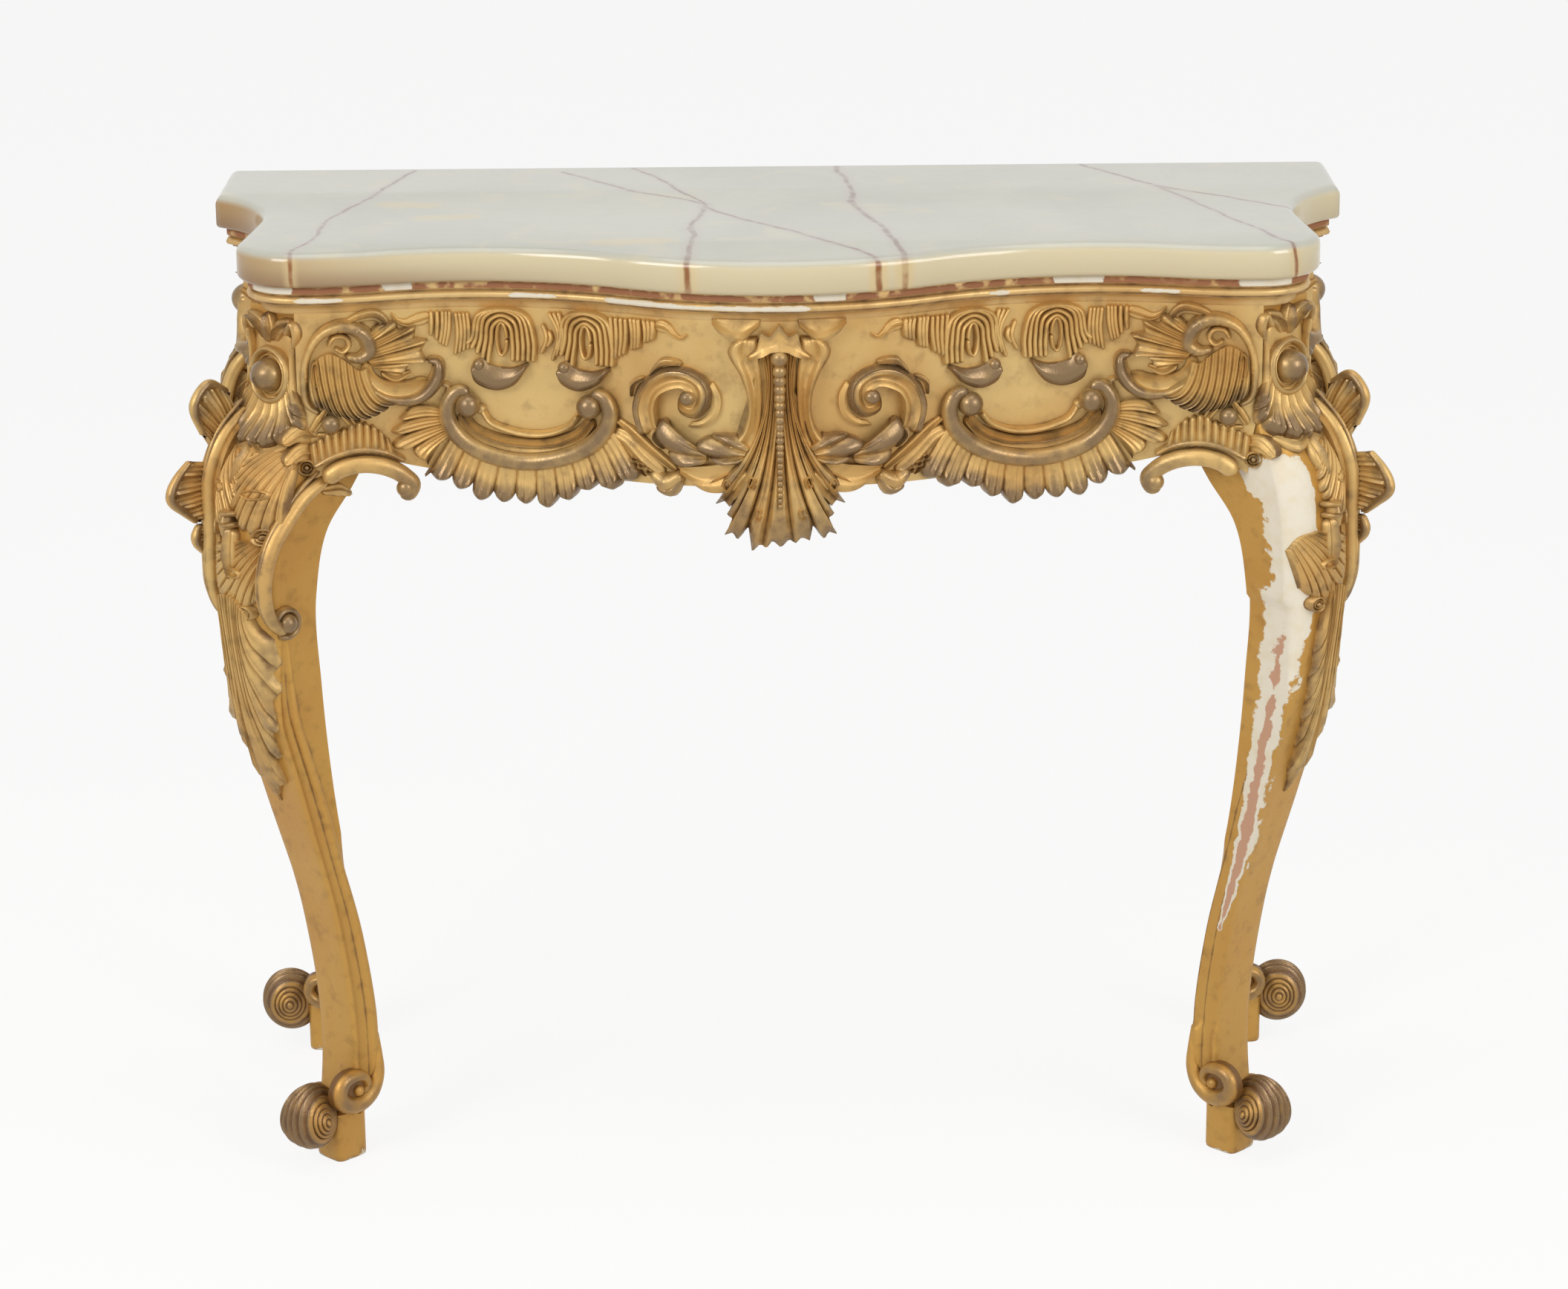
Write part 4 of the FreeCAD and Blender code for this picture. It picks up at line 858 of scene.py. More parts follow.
# Shell fans: scallop lobes that hang below each C-scroll, with a leafy wing towards the leg, and a stalk of
# small rings that ends in a bulb towards the middle. The lobe tips are rubbed down to grey. Carved in pine,
# gilded and glued on.
FAN_ROOTS = ((-306, 742), (-292, 726), (-266, 714), (-238, 710), (-212, 713), (-186, 724), (-168, 738),
             (-156, 751))
FAN_TIPS = ((-334, 700), (-306, 685), (-272, 674), (-236, 669), (-203, 675), (-174, 688), (-146, 697),
            (-127, 709))
FAN_LOBES = 10
FAN_WING_LOBES = 4
FAN_WING_ROOTS = ((-311, 762), (-310, 752), (-306, 742))
FAN_WING_MIDDLES = ((-335, 770), (-340, 746), (-328, 724))
FAN_WING_TIPS = ((-350, 764), (-371, 743), (-331, 711))
FAN_STALK = ((-160, 748), (-145, 742), (-128, 726), (-110, 712))
FAN_VEIN = ((-152, 760), (-140, 752), (-124, 738), (-98, 718))
FAN_DROPS = ((-134, 726), (-128, 720.5), (-121, 715.5))
FAN_BULB = ((-121, 716), (-107, 706), (-92, 716))
FAN_CURL = ((-116, 702), (-104, 698), (-93, 712))
shell = [
    fan(FAN_ROOTS, FAN_TIPS, FAN_LOBES, (9, 8, 10, 13), (0.0, 0.15, 0.75, 1.3), back=-7, notch=0.28),
    fan(FAN_WING_ROOTS, FAN_WING_TIPS, FAN_WING_LOBES, (7, 9, 10, 9), (0.0, 0.2, 0.4), FAN_WING_MIDDLES,
        notch=0.3, back=-4, furrow=0.25),
    stroke("flute", FAN_STALK, (8, 10, 10, 8), (6, 8, 9, 8), (0.1, 0.6), back=-5),
    stroke("leaf", FAN_VEIN, (3, 5, 5, 4), (8, 11, 11, 10), (0.2, 0.5)),
    stroke("round", FAN_BULB, (5, 10, 5), (9, 13, 9), 0.5, back=-6),
    stroke("round", FAN_CURL, (4, 6, 3), (9, 11, 8), 0.8),
]
shell += [stroke("round", ring_line(drop, 2.6), 1.1, 11, 0.6) for drop in FAN_DROPS]
carve_pair("shell_fan", shell)


# Fringes: a band of rocaille under the cornice. Thin ribs hang in groups and bend round two oval loops, and
# each loop stands in a burnished curl. Carved in pine, gilded and glued to the rail.
def between(first, last, count):
    """Lines spread evenly from one line to another with the same number of points."""
    first, last = np.asarray(first, float), np.asarray(last, float)
    return [first + (last - first) * k / (count - 1) for k in range(count)]


def with_less_grime_and_shade(share, shapes):
    """Carved shapes with only a share of their grime and painted shade."""
    return [(rings, rub, share * grime_and_shade) for rings, rub, grime_and_shade in shapes]


FRINGE_GROUPS = (
    (((-324, 858), (-324, 846), (-325, 834)), ((-318.5, 858), (-318.5, 845), (-320, 830)), 2),
    (((-313.5, 858), (-314, 842), (-317, 826)), ((-307, 858), (-308, 840), (-311.5, 823)), 3),
    (((-301.5, 856), (-300, 836), (-303, 815)), ((-291, 856), (-289.5, 838), (-291, 820)), 4),
    (((-221, 846), (-217, 832), (-223, 817)), ((-215, 840), (-213, 832), (-217, 824)), 2),
    (((-215, 857), (-206, 838), (-212, 811)), ((-206, 858), (-201, 838), (-204, 820)), 3),
    (((-157, 857), (-155, 836), (-156, 815)), ((-143, 857), (-142, 840), (-145, 822)), 4),
    (((-138.5, 858), (-136, 843), (-137, 827)), ((-131.5, 858), (-130, 844), (-131.5, 829)), 3),
    (((-126.5, 858), (-124, 846), (-125, 835)), ((-118.5, 858), (-117.5, 848), (-119, 838)), 3),
)
FRINGE_LOOPS = ((-259, 5, 30.0), (-180, 4, 25.0))
LOOP_MIDDLE = 829.0
LOOP_TOP = 858.5
LOOP_LOW = 806.0
LOOP_HALF_HOLE = 10.0
LOOP_RISE = 20.0
FRINGE_CURLS = (
    (((-288, 805), (-280, 813), (-268, 806), (-252, 804), (-235, 809)),
     ((-289, 802), (-285, 791), (-266, 783), (-248, 788), (-235, 805)), (-281, 807)),
    (((-207, 804), (-199, 812), (-189, 806), (-176, 804), (-159, 809)),
     ((-208, 801), (-203, 791), (-188, 785), (-172, 790), (-158, 805)), (-200, 806)),
)
FRINGE_ENDS = (
    (((-324, 853), (-338, 849), (-347, 847), (-355, 850), (-360, 857)), (5, 6.5, 5, 3, 1.2)),
    (((-117, 853), (-106, 851), (-99, 845), (-93, 842), (-87, 846)), (6, 6.5, 4, 2.4, 1.2)),
)
RIB_HALF = 2.8
RIB_RELIEF = 7.0
# Share of the carving's grime and painted shade that the fringe keeps.
FRINGE_GRIME_AND_SHADE = 0.45
RIB_RISE = 4.4
LOOP_SHOULDER = 0.72
SHOULDER_DROP = 5.0
LOOP_FLARE = 4.0
LOOP_STAGGER = 5.0
LOOP_END_SHARE = 0.97
LOOP_END_RISE = 3.0
SLOT_MIDDLE = 831.0
SLOT_RADIUS = 4.6
SLOT_STRETCH = 3.4
fringe = []
for first, last, count in FRINGE_GROUPS:
    for line in between(first, last, count):
        fringe.append(stroke("round", line, (2.2, RIB_HALF, 2.2), (5, RIB_RELIEF, 6), (0, 0.1, 0.4)))
for centre, count, reach in FRINGE_LOOPS:
    for k in range(count):
        wide = LOOP_HALF_HOLE + (reach - LOOP_HALF_HOLE) * k / (count - 1)
        top = min(LOOP_MIDDLE + LOOP_RISE + RIB_RISE * k, LOOP_TOP)
        line = ((-wide - LOOP_FLARE, LOOP_LOW + LOOP_STAGGER * k), (-wide, LOOP_MIDDLE),
                (-wide * LOOP_SHOULDER, top - SHOULDER_DROP), (0, top),
                (wide * LOOP_SHOULDER, top - SHOULDER_DROP), (wide, LOOP_MIDDLE),
                (wide * LOOP_END_SHARE, LOOP_LOW + LOOP_END_RISE))
        line = [(centre + x, z) for x, z in line]
        fringe.append(stroke("round", line, (RIB_HALF, 2.5, RIB_HALF), (7, 8, 7), 0.1))
    slot = ring_line((centre, SLOT_MIDDLE), SLOT_RADIUS, stretch=SLOT_STRETCH)
    fringe.append(stroke("round", slot, 2.2, 8, 0.1))
for top, low, knob in FRINGE_CURLS:
    fringe += [band(top, low, (7, 10, 12, 12, 8), (0.9, 1.0)), ball(knob, 6, 7, 1.0)]
for line, half_widths in FRINGE_ENDS:
    fringe.append(stroke("leaf", line, half_widths, (5, 6, 4), (0.1, 0.2)))
carve_pair("fringe", with_less_grime_and_shade(FRINGE_GRIME_AND_SHADE, fringe))

# Corner shells: a rocaille shell over each front leg. A ribbed horn winds round an eye, flutes sweep down
# from it, and two leaves run towards the fringe, the lower one ending in a burnished curl. Carved in pine,
# gilded and glued on.
HORN = ((-439, 796), (-438, 816), (-432, 831), (-421, 843), (-407, 848), (-393, 845), (-383, 835),
        (-381, 823), (-390, 817), (-403, 820))
SHELL_ROOTS = ((-434, 806), (-427, 819), (-417, 823), (-406, 818), (-397, 811), (-391, 806), (-384, 808))
SHELL_MIDS = ((-436, 788), (-430, 788), (-421, 783), (-410, 777), (-399, 774), (-387, 775), (-374, 780))
SHELL_TIPS = ((-431, 773), (-416, 766), (-404, 762), (-390, 760), (-376, 763), (-364, 769), (-354, 777))
SHELL_FLUTES = 9
# Share of grime and painted shade that the shells keep.
SOFT_GRIME_AND_SHADE = 0.5
SHELL_LEAF_LOBES = 5
SHELL_LEAF_ROOTS = ((-385, 836), (-386, 826), (-383, 815), (-376, 806))
SHELL_LEAF_TIPS = ((-374, 848), (-357, 851), (-354, 842), (-338, 845), (-340, 834), (-327, 831), (-334, 822),
                   (-329, 811), (-343, 812), (-352, 799))
SHELL_STROKES = (
    ("round", ((-418, 829), (-412, 838), (-403, 838), (-399, 830), (-405, 824), (-412, 828)),
     (2, 3, 3, 3, 2.5, 2), (8, 9, 9, 9, 9, 9), 0.2),
    ("round", ((-427, 840), (-438, 818), (-441, 794), (-436, 772), (-428, 767)), (2.5, 3.5, 4, 4, 3),
     (7, 8, 9, 9, 8), (0.2, 0.6)),
    ("hollow", ((-385, 813), (-382, 799), (-373, 788), (-356, 782), (-340, 784), (-327, 792)),
     (4, 7, 10, 12, 11, 9), (9, 10, 11, 11, 12, 13), (0.1, 0.3)),
    ("round", ((-380, 786), (-366, 777), (-350, 774), (-335, 778), (-325, 787), (-319, 799), (-320, 810),
               (-329, 812)),
     (3, 4, 5, 6, 7, 7.5, 6.5, 3), (9, 10, 11, 13, 15, 16, 15, 10), (0.4, 0.8, 1.0, 1.0)),
    ("leaf", ((-371, 803), (-358, 797), (-344, 801)), (4, 6, 2), (9, 11, 8), (0.1, 0.2)),
    ("round", ((-317, 789), (-310, 786), (-313, 779)), (3, 3, 2), (8, 8, 6), 0.7),
    ("leaf", ((-402, 850), (-390, 855), (-374, 856), (-367, 849), (-378, 841)), (3, 5, 6, 5, 3),
     (9, 11, 12, 11, 9), (0.6, 1.0)),
)
SHELL_SLOT = (-430, 804)
shell = with_less_grime_and_shade(SOFT_GRIME_AND_SHADE, [
    fan(SHELL_ROOTS, SHELL_TIPS, SHELL_FLUTES, (9, 11, 13, 13), (0.0, 0.1, 0.6, 1.3), SHELL_MIDS, furrow=0.3,
        ridges=2),
])
shell += [
    stroke("round", HORN, (2, 3, 4, 5, 6, 7, 8, 8, 6, 3), (7, 9, 10, 11, 13, 14, 15, 14, 11, 8),
           (0.1, 0.2, 0.5, 0.9, 0.6), ripple=(26, 0.07)),
    fan(SHELL_LEAF_ROOTS, SHELL_LEAF_TIPS, SHELL_LEAF_LOBES, (10, 12, 11), (0.0, 0.2, 0.6), notch=0,
        toothed=True),
    stroke("round", ring_line(SHELL_SLOT, 3.2, stretch=3.6), 1.3, 11),
]
shell += [stroke(*drawn) for drawn in SHELL_STROKES]
carve_pair("corner_shell", shell)


# Arch scrolls: a round bar that springs from the leg, arches under the end of the rail and curls in, with a
# fluted shell over it and a berry among three husks above. Carved in pine, gilded and glued on.
ROSETTE_RINGS = ((0.82, 0.2, 5), (0.48, 0.15, 4))
ROSETTE_EYE = 0.24
ROSETTE_EYE_LIFT = 3.0
ROSETTE_RUB = 0.5


def rosette(centre, radius, lift):
    """Rings round a small eye."""
    carved = [ball(centre, radius * ROSETTE_EYE, lift + ROSETTE_EYE_LIFT)]
    for reach, half_width, relief in ROSETTE_RINGS:
        line = ring_line(centre, radius * reach)
        carved.append(stroke("round", line, radius * half_width, relief + lift, ROSETTE_RUB))
    return carved


ARCH_BAR = ((-426, 703), (-412, 713), (-392, 717), (-371, 713), (-354, 703), (-346, 693), (-350, 685),
            (-358, 688))
ARCH_STRIP = ((-436, 716), (-414, 727), (-392, 731), (-370, 727), (-352, 717))
ARCH_ROOTS = ((-436, 716), (-400, 728), (-362, 724))
ARCH_TIPS = ((-438, 738), (-424, 748), (-406, 754), (-391, 760), (-378, 752), (-366, 739))
ARCH_RIBS = 11
ARCH_ROSETTE = (-441, 716)
BERRY = (-418, 757)
BERRY_HUSKS = (
    (((-436, 748), (-428, 760), (-419, 773)), (4, 5, 2)),
    (((-418, 773), (-406, 764), (-396, 751)), (2, 5, 4)),
    (((-432, 745), (-418, 744), (-402, 748)), (3, 5, 3)),
)
ARCH_KNOB = (-353, 691)
arch = with_less_grime_and_shade(SOFT_GRIME_AND_SHADE, [
    fan(ARCH_ROOTS, ARCH_TIPS, ARCH_RIBS, (9, 10, 9), (0.7, 0.1, 0.4), notch=0.14, ridges=1, furrow=0.28),
])
arch += [
    stroke("bar", ARCH_BAR, (8.5, 8.5, 8.5, 8.5, 8, 5), (8.5, 8.5, 8.5, 5), (0.2, 0.2, 0.6, 0.9), lift=5),
    ball(ARCH_KNOB, 8.5, 5, 0.7),
    stroke("round", ARCH_STRIP, (3.5, 4, 4, 3), (10, 11, 11, 9), 0.6, back=-4),
    ball(BERRY, 8.5, 8, 0.95),
]
arch += rosette(ARCH_ROSETTE, 8.5, 5)
arch += [stroke("leaf", *husk, (6, 9, 7), (0.2, 0.3)) for husk in BERRY_HUSKS]
carve_pair("arch_scroll", arch)


# Cartouches: rims round a burnished ball at the top of each leg's outer face, with leaves above and a
# fluted flare below. Carved in pine, gilded and glued on.
def on_leg_face(side, front):
    """Lays points (across, height, relief) on a leg's outer face."""
    def place(points):
        across, up, relief = points.T
        outer = profile_at(OUTER_SHARES, OUTER_STILE, up, front)
        drop = knee_drop(across, up, front)
        lean = profile_at(OUTER_SHARES, OUTER_STILE, up + 1, front) - outer
        steep = np.sqrt(1 + lean ** 2)
        points = np.stack([outer - drop + relief / steep, across, up - relief * lean / steep], 1)
        return leg_to_room(points, side, front)
    return place


def on_leg_side(side, front, way):
    """Lays points (reach, height, relief) on a leg's flat side: way is -1 for the one towards the front."""
    def place(points):
        reach, up, relief = points.T
        drawn = reach if front else reach * BACK_REACH / FRONT_REACH
        return leg_to_room(np.stack([drawn, way * (leg_half_width(up, front) + relief), up], 1), side, front)
    return place


def squeezed(line, narrow):
    """A line drawn in towards the middle of a narrower leg."""
    return [(narrow * x, z) for x, z in line]


def mirrored(strokes):
    """Strokes drawn left of a middle line, and the same strokes on its right."""
    return strokes + tuple((kind, [(-x, z) for x, z in line], *rest) for kind, line, *rest in strokes)


FACE_HALF = 34.0
KNEE_HALF = 40.0
BOSS_HEIGHT = 797.0
BOSS_RADIUS = 16.5
BOSS_LIFT = 9.0
BOSS_RUB = 0.95
FLARE_LOBES = 9
CARTOUCHE_RIMS = ((25.0, 4, 11, 0.4), (19.0, 2.4, 8, 0.1))
FLARE_ROOTS = both_ways(((-26, 800), (-24, 786), (-14, 776), (0, 772)))
FLARE_TIPS = both_ways(((-40, 776), (-42, 752), (-25, 734), (0, 727)))
CARTOUCHE_STROKES = (
    ("flute", ((0, 848), (0, 825), (0, 797), (0, 765), (0, 745)), (33, 30, 29, 31, 30), (7, 6, 6, 7, 8), 0.1),
    ("leaf", ((0, 828), (0, 842), (2, 857)), (5, 9, 4), (12, 16, 13), (0.5, 1.0)),
) + mirrored((
    ("round", ((-22, 838), (-33, 850), (-36, 842), (-31, 826)), (4, 4, 3, 2), (9, 10, 9, 7), (0.3, 0.5)),
    ("leaf", ((-4, 830), (-14, 844), (-31, 851)), (5, 8, 4), (10, 15, 12), (0.5, 1.0)),
    ("round", ((-32, 838), (-29, 815), (-31, 790), (-36, 765)), (2.5, 2.5, 3), (9, 8, 9), 0.3),
))
bosses = []
for leg, (side, front) in LEGS.items():
    narrow = 1.0 if front else BACK_HALF_WIDTH / FACE_HALF
    roots, tips = squeezed(FLARE_ROOTS, narrow), squeezed(FLARE_TIPS, narrow)
    cartouche = [fan(roots, tips, FLARE_LOBES, (8, 9, 12, 15), (0.0, 0.3, 0.8, 1.2))]
    for kind, line, *rest in CARTOUCHE_STROKES:
        cartouche.append(stroke(kind, squeezed(line, narrow), *rest, back=-3))
    for radius, *rest in CARTOUCHE_RIMS:
        cartouche.append(stroke("round", ring_line((0, BOSS_HEIGHT), radius), *rest))
    carve(leg + "_cartouche", laid(on_leg_face(side, front), cartouche))
    bosses += laid(on_leg_face(side, front), [ball((0, BOSS_HEIGHT), BOSS_RADIUS, BOSS_LIFT, BOSS_RUB)])
carve("cartouche_bosses", bosses)

# Knee shells: fluted patches on the knee, with a long slot in each, rosettes between them and a column of
# husks down the middle. On the front legs, shell flaps stand out past the knee's outer edge. Carved in
# pine, gilded and glued on.
PATCH_LOBES = 9
PATCHES = (
    (((-18, 731), (-34, 728), (-49, 716)),
     ((4, 714), (7, 690), (0, 670), (-16, 659), (-34, 655), (-49, 663))),
    (((18, 731), (32, 727), (44, 714)), ((-4, 714), (-7, 690), (0, 670), (16, 659), (32, 656), (43, 664))),
    (((-16, 652), (-30, 648), (-38, 634)),
     ((26, 642), (33, 616), (26, 594), (6, 581), (-14, 583), (-30, 598))),
)
KNEE_SLOTS = ((-26, 694), (26, 694), (-5, 620))
KNEE_ROSETTES = ((-34, 656, 9), (34, 656, 9), (-17, 583, 8), (17, 583, 8))
KNEE_COLUMN = (
    ("leaf", ((0, 734), (2, 716), (4, 698)), (6, 9, 5), (10, 15, 10), 0.6),
    ("round", ((5, 676), (5, 664), (5, 650)), (5, 7, 5), (12, 15, 11), (0.6, 0.4)),
    ("round", ((-9, 676), (0, 674), (9, 676)), (2.5, 3, 2.5), (14, 20, 14), 0.5),
    ("round", ((-8, 666), (0, 664), (8, 666)), (2.5, 3, 2.5), (13, 18, 13), 0.5),
    ("leaf", ((0, 662), (0, 640), (0, 612)), (7, 9, 4), (14, 18, 10), 0.7),
    ("leaf", both_ways(((-32, 736), (-18, 728), (0, 732))), (3, 6, 7, 6, 3), (6, 10, 12, 10, 6), 0.5),
    ("leaf", ((0, 604), (0, 590), (0, 570)), (5, 6, 5), (10, 12, 9), 0.3),
)
NEAR_LEAVES = (((66, 742), (46, 748), (24, 738), (6, 722)), ((66, 722), (48, 730), (28, 724), (10, 706)))
FLAP_MIDDLE = 7.0
# Share of grime and painted shade that the knee flaps keep.
FLAP_GRIME_AND_SHADE = 0.4
FLAPS = (
    (((58, 758), (76, 740), (86, 728)), ((66, 778), (88, 789), (105, 773), (94, 741)), 4),
    (((90, 714), (94, 690), (91, 662)), ((109, 718), (124, 703), (132, 686), (118, 671), (104, 659)), 4),
    (((90, 656), (90, 644), (90, 630)), ((102, 656), (107, 643), (98, 628)), 3),
)
for leg, (side, front) in LEGS.items():
    narrow = 1.0 if front else BACK_HALF_WIDTH / KNEE_HALF
    kept = slice(1 if leg == BROKEN_LEG else 0, None)
    knee = []
    for roots, tips in PATCHES[kept]:
        knee.append(fan(squeezed(roots, narrow), squeezed(tips, narrow), PATCH_LOBES, (6, 8, 9, 8),
                        (0.4, 0.15, 0.2, 0.5), furrow=0.3, ridges=2))
    for centre in KNEE_SLOTS[kept]:
        knee.append(stroke("round", squeezed(ring_line(centre, 11, stretch=0.34), narrow), 1.8, 11))
    for x, z, radius in KNEE_ROSETTES[kept]:
        knee += rosette((narrow * x, z), radius, 4)
    for kind, line, *rest in KNEE_COLUMN:
        knee.append(stroke(kind, squeezed(line, narrow), *rest))
    knee = laid(on_leg_face(side, front), knee)
    if front:
        leaves = []
        for line in NEAR_LEAVES[kept]:
            leaves.append(stroke("leaf", line, (5, 10, 9, 3), (6, 9, 7), (0.2, 0.4), back=-8))
        knee += laid(on_leg_side(side, front, -1), leaves)
        flaps = []
        for roots, tips, lobes in FLAPS:
            flap = fan(roots, tips, lobes, (12, 13, 11), (0.1, 0.3, 0.8), back=7, notch=0.1, behind=0.1)
            turned = flap[0] * (1, 1, -1) + (0, 0, 2 * FLAP_MIDDLE)
            lip = stroke("bar", tips, (3, 4.5, 4.5, 3), (3.5, 5, 5, 3.5), (0.7, 0.9, 0.7), lift=FLAP_MIDDLE)
            flaps += [flap, (turned, *flap[1:]), lip]
        knee += laid(on_leg_side(side, front, 1), with_less_grime_and_shade(FLAP_GRIME_AND_SHADE, flaps))
    carve(leg + "_knee_shell", knee)

# Knee scrolls: a round bar with a second rim beside it, bowed down each edge of the knee to a small volute.
# The back legs have none at the wall, and the right front leg has lost its inner one. Carved in pine,
# gilded and glued on.
INNER_BAR = ((24, 701), (36, 696), (50, 689), (70, 671), (88, 649), (97, 623), (97, 597), (88, 575),
             (74, 562))
OUTER_BAR = ((38, 764), (58, 752), (76, 735), (87, 711), (91, 687), (92, 656), (95, 625), (95, 597),
             (87, 575), (74, 562))
BEAD_GAP = 10.0
WEB_WIDTH = 18.0
VOLUTE = (72, 571)
BEAD_SHIFT = 5.5
BEAD_CLOSES_IN = 7
KNEE_LEAF = ((26, 690), (8, 688), (-9, 680))
for leg, (side, front) in LEGS.items():
    scrolls = []
    for way in (-1, 1) if front else (-1,):
        if leg == BROKEN_LEG and way < 0:
            continue
        line = INNER_BAR if front and way < 0 else OUTER_BAR
        bead = []
        for k, (r, z) in enumerate(line[:-2]):
            bead.append((r + BEAD_SHIFT, z + BEAD_GAP * (1 - k / BEAD_CLOSES_IN)))
        bar = [
            stroke("bar", line, (6, 8, 8.5, 8, 7, 5.5), (7, 9, 9.5, 9, 8, 6), (0.2, 0.3, 0.3, 0.5), lift=3),
            stroke("bar", bead, (2.2, 2.6, 2.4), (3, 3.4, 3), 0.8, lift=3),
            ball(VOLUTE, 9.5, 5, 0.9),
            stroke("round", ring_line(VOLUTE, 13, 20, 300), (3, 4), (8, 9), 0.8),
        ]
        if way > 0:
            web = [(r - WEB_WIDTH, z) for r, z in line]
            bar.append(band(line, web, (4, 3, 2), 0.1, back=-12))
        elif front:
            bar.append(stroke("leaf", KNEE_LEAF, (4, 7, 3), (6, 8, 6), (0.1, 0.4), back=-5))
        scrolls += laid(on_leg_side(side, front, way), bar)
    carve(leg + "_knee_scrolls", scrolls)

# Acanthus on the shin: one long leaf, carved in pine, gilded and glued on. Its flutes run down the leg and
# bend out to toothed lobes that grow smaller towards the tip.
SHIN_SHIFT = 4.0
BROKEN_LEAF = 0.35
SHIN_LOBES = 7
SHIN_ROOTS = ((-1, 598), (-8, 597), (-16, 592), (-24, 584))
SHIN_MIDDLES = ((1, 490), (-9, 515), (-17, 545), (-28, 570))
SHIN_TIPS = ((2, 382), (-9, 401), (-20, 405), (-16, 432), (-25, 435), (-23, 462), (-34, 465), (-31, 494),
             (-40, 506), (-34, 522), (-39, 531), (-36, 556))
for leg, (side, front) in LEGS.items():
    narrow = 1.0 if front else BACK_HALF_WIDTH / FACE_HALF
    shin = []
    for way in (-1, 1):
        drawn_in = -way * narrow * (BROKEN_LEAF if leg == BROKEN_LEG and way < 0 else 1.0)
        lines = (SHIN_ROOTS, SHIN_TIPS, SHIN_MIDDLES)
        roots, tips, middles = ([(SHIN_SHIFT + drawn_in * x, z) for x, z in line] for line in lines)
        shin.append(fan(roots, tips, SHIN_LOBES, (11, 11, 12, 9), (0.0, 0.1, 0.2, 0.6), middles,
                        furrow=0.55, notch=0, ridges=2, toothed=True))
    carve(leg + "_acanthus", laid(on_leg_face(side, front), shin))

# Feet: each leg ends in a volute on each side, except at the wall, and stands on a block with worn corners.
# In front of the block lies a ribbed roll, rubbed dark, with a small cone of rings at each end. Volutes and
# rolls are glued on, the blocks are pegged, and all are of gilded beech.
NEAR_VOLUTE = ((-28, 128), (-28, 104), (-26, 84), (-17, 68), (-2, 61), (14, 64), (23, 75), (18, 87), (4, 91),
               (-9, 86), (-12, 77), (-6, 70))
NEAR_WIDTHS = (2, 4, 6, 7.5, 8.5, 9, 9, 8.5, 8, 6.5, 5, 3)
NEAR_RELIEFS = (0.5, 3, 6, 8, 9, 10, 10, 10, 9, 9, 8, 5)
VOLUTE_EYE = (1, 76)
FAR_SHARE = 0.4
BACK_SHARE = 0.85
VOLUTE_FALL = 28.0
# Painted shade filling the dished eye of each volute.
HOLE_SHADE = 0.9
HOLE_RADIUS = 15.0
HOLE_LIFT = -1.0
HOLE_FLATTEN = 0.3
BUTTON_RADIUS = 5.5
BUTTON_LIFT = 4.0
BUTTON_RUB = 0.2
volutes = []
for side, front in LEGS.values():
    for way in (-1, 1) if front else (-1,):
        size = (1.0 if front else BACK_SHARE) if way < 0 else FAR_SHARE
        eye = (size * VOLUTE_EYE[0], VOLUTE_EYE[1] - VOLUTE_FALL * (1 - size))
        line = [(size * r, eye[1] + size * (z - VOLUTE_EYE[1])) for r, z in NEAR_VOLUTE]
        rings, rub, grime_and_shade = ball(eye, HOLE_RADIUS * size, HOLE_LIFT, BUTTON_RUB, flatten=HOLE_FLATTEN)
        volutes += laid(on_leg_side(side, front, way), [
            stroke("round", line, size * np.array(NEAR_WIDTHS), NEAR_RELIEFS, (0.1, 0.5, 0.8, 0.5), back=-6),
            (rings, rub, 0 * grime_and_shade + HOLE_SHADE),
            ball(eye, BUTTON_RADIUS * size, BUTTON_LIFT, BUTTON_RUB),
        ])
carve("foot_volutes", volutes, gilt_legs)

ROLL_CENTRE = (37.0, 52.0)
ROLL_RADIUS = 29.0
ROLL_STRETCH = 1.08
ROLL_HALF = 22.0
CONE = ((23, 0.68), (25, 0.63), (25.5, 0.58), (24.5, 0.54), (27.5, 0.51), (28.5, 0.44), (27.5, 0.4),
        (30.5, 0.37), (31.5, 0.3), (30.5, 0.26), (33.5, 0.23), (34.5, 0.16), (33.5, 0.12), (36, 0.09),
        (37, 0.02))
# Painted shade in the undercut steps between the cone's rings, one value to each ring.
CONE_STEP_SHADE = (0.1, 0.1, 0.6, 1, 0.1, 0.6, 1, 0.1, 0.6, 1, 0.1, 0.6, 1, 0.1, 0.0)
CONE_RUB = 0.55
ROLL_RUB = (0.9, 0.3)
# Grime and painted shade between the roll's ribs: a base amount, and how much it swings from rib to groove.
ROLL_GRIME_AND_SHADE = (0.45, 0.55)
RIB_PITCH = 7.5
ROLL_SPREAD = (0.8, 0.3, 0.8)
ROLL_TURNS = 48
ROLL_ROWS = 61
ROLL_TAPER = (0.3, 2.5)
RIB_DEPTH = 0.05
BACK_TOE = 0.8
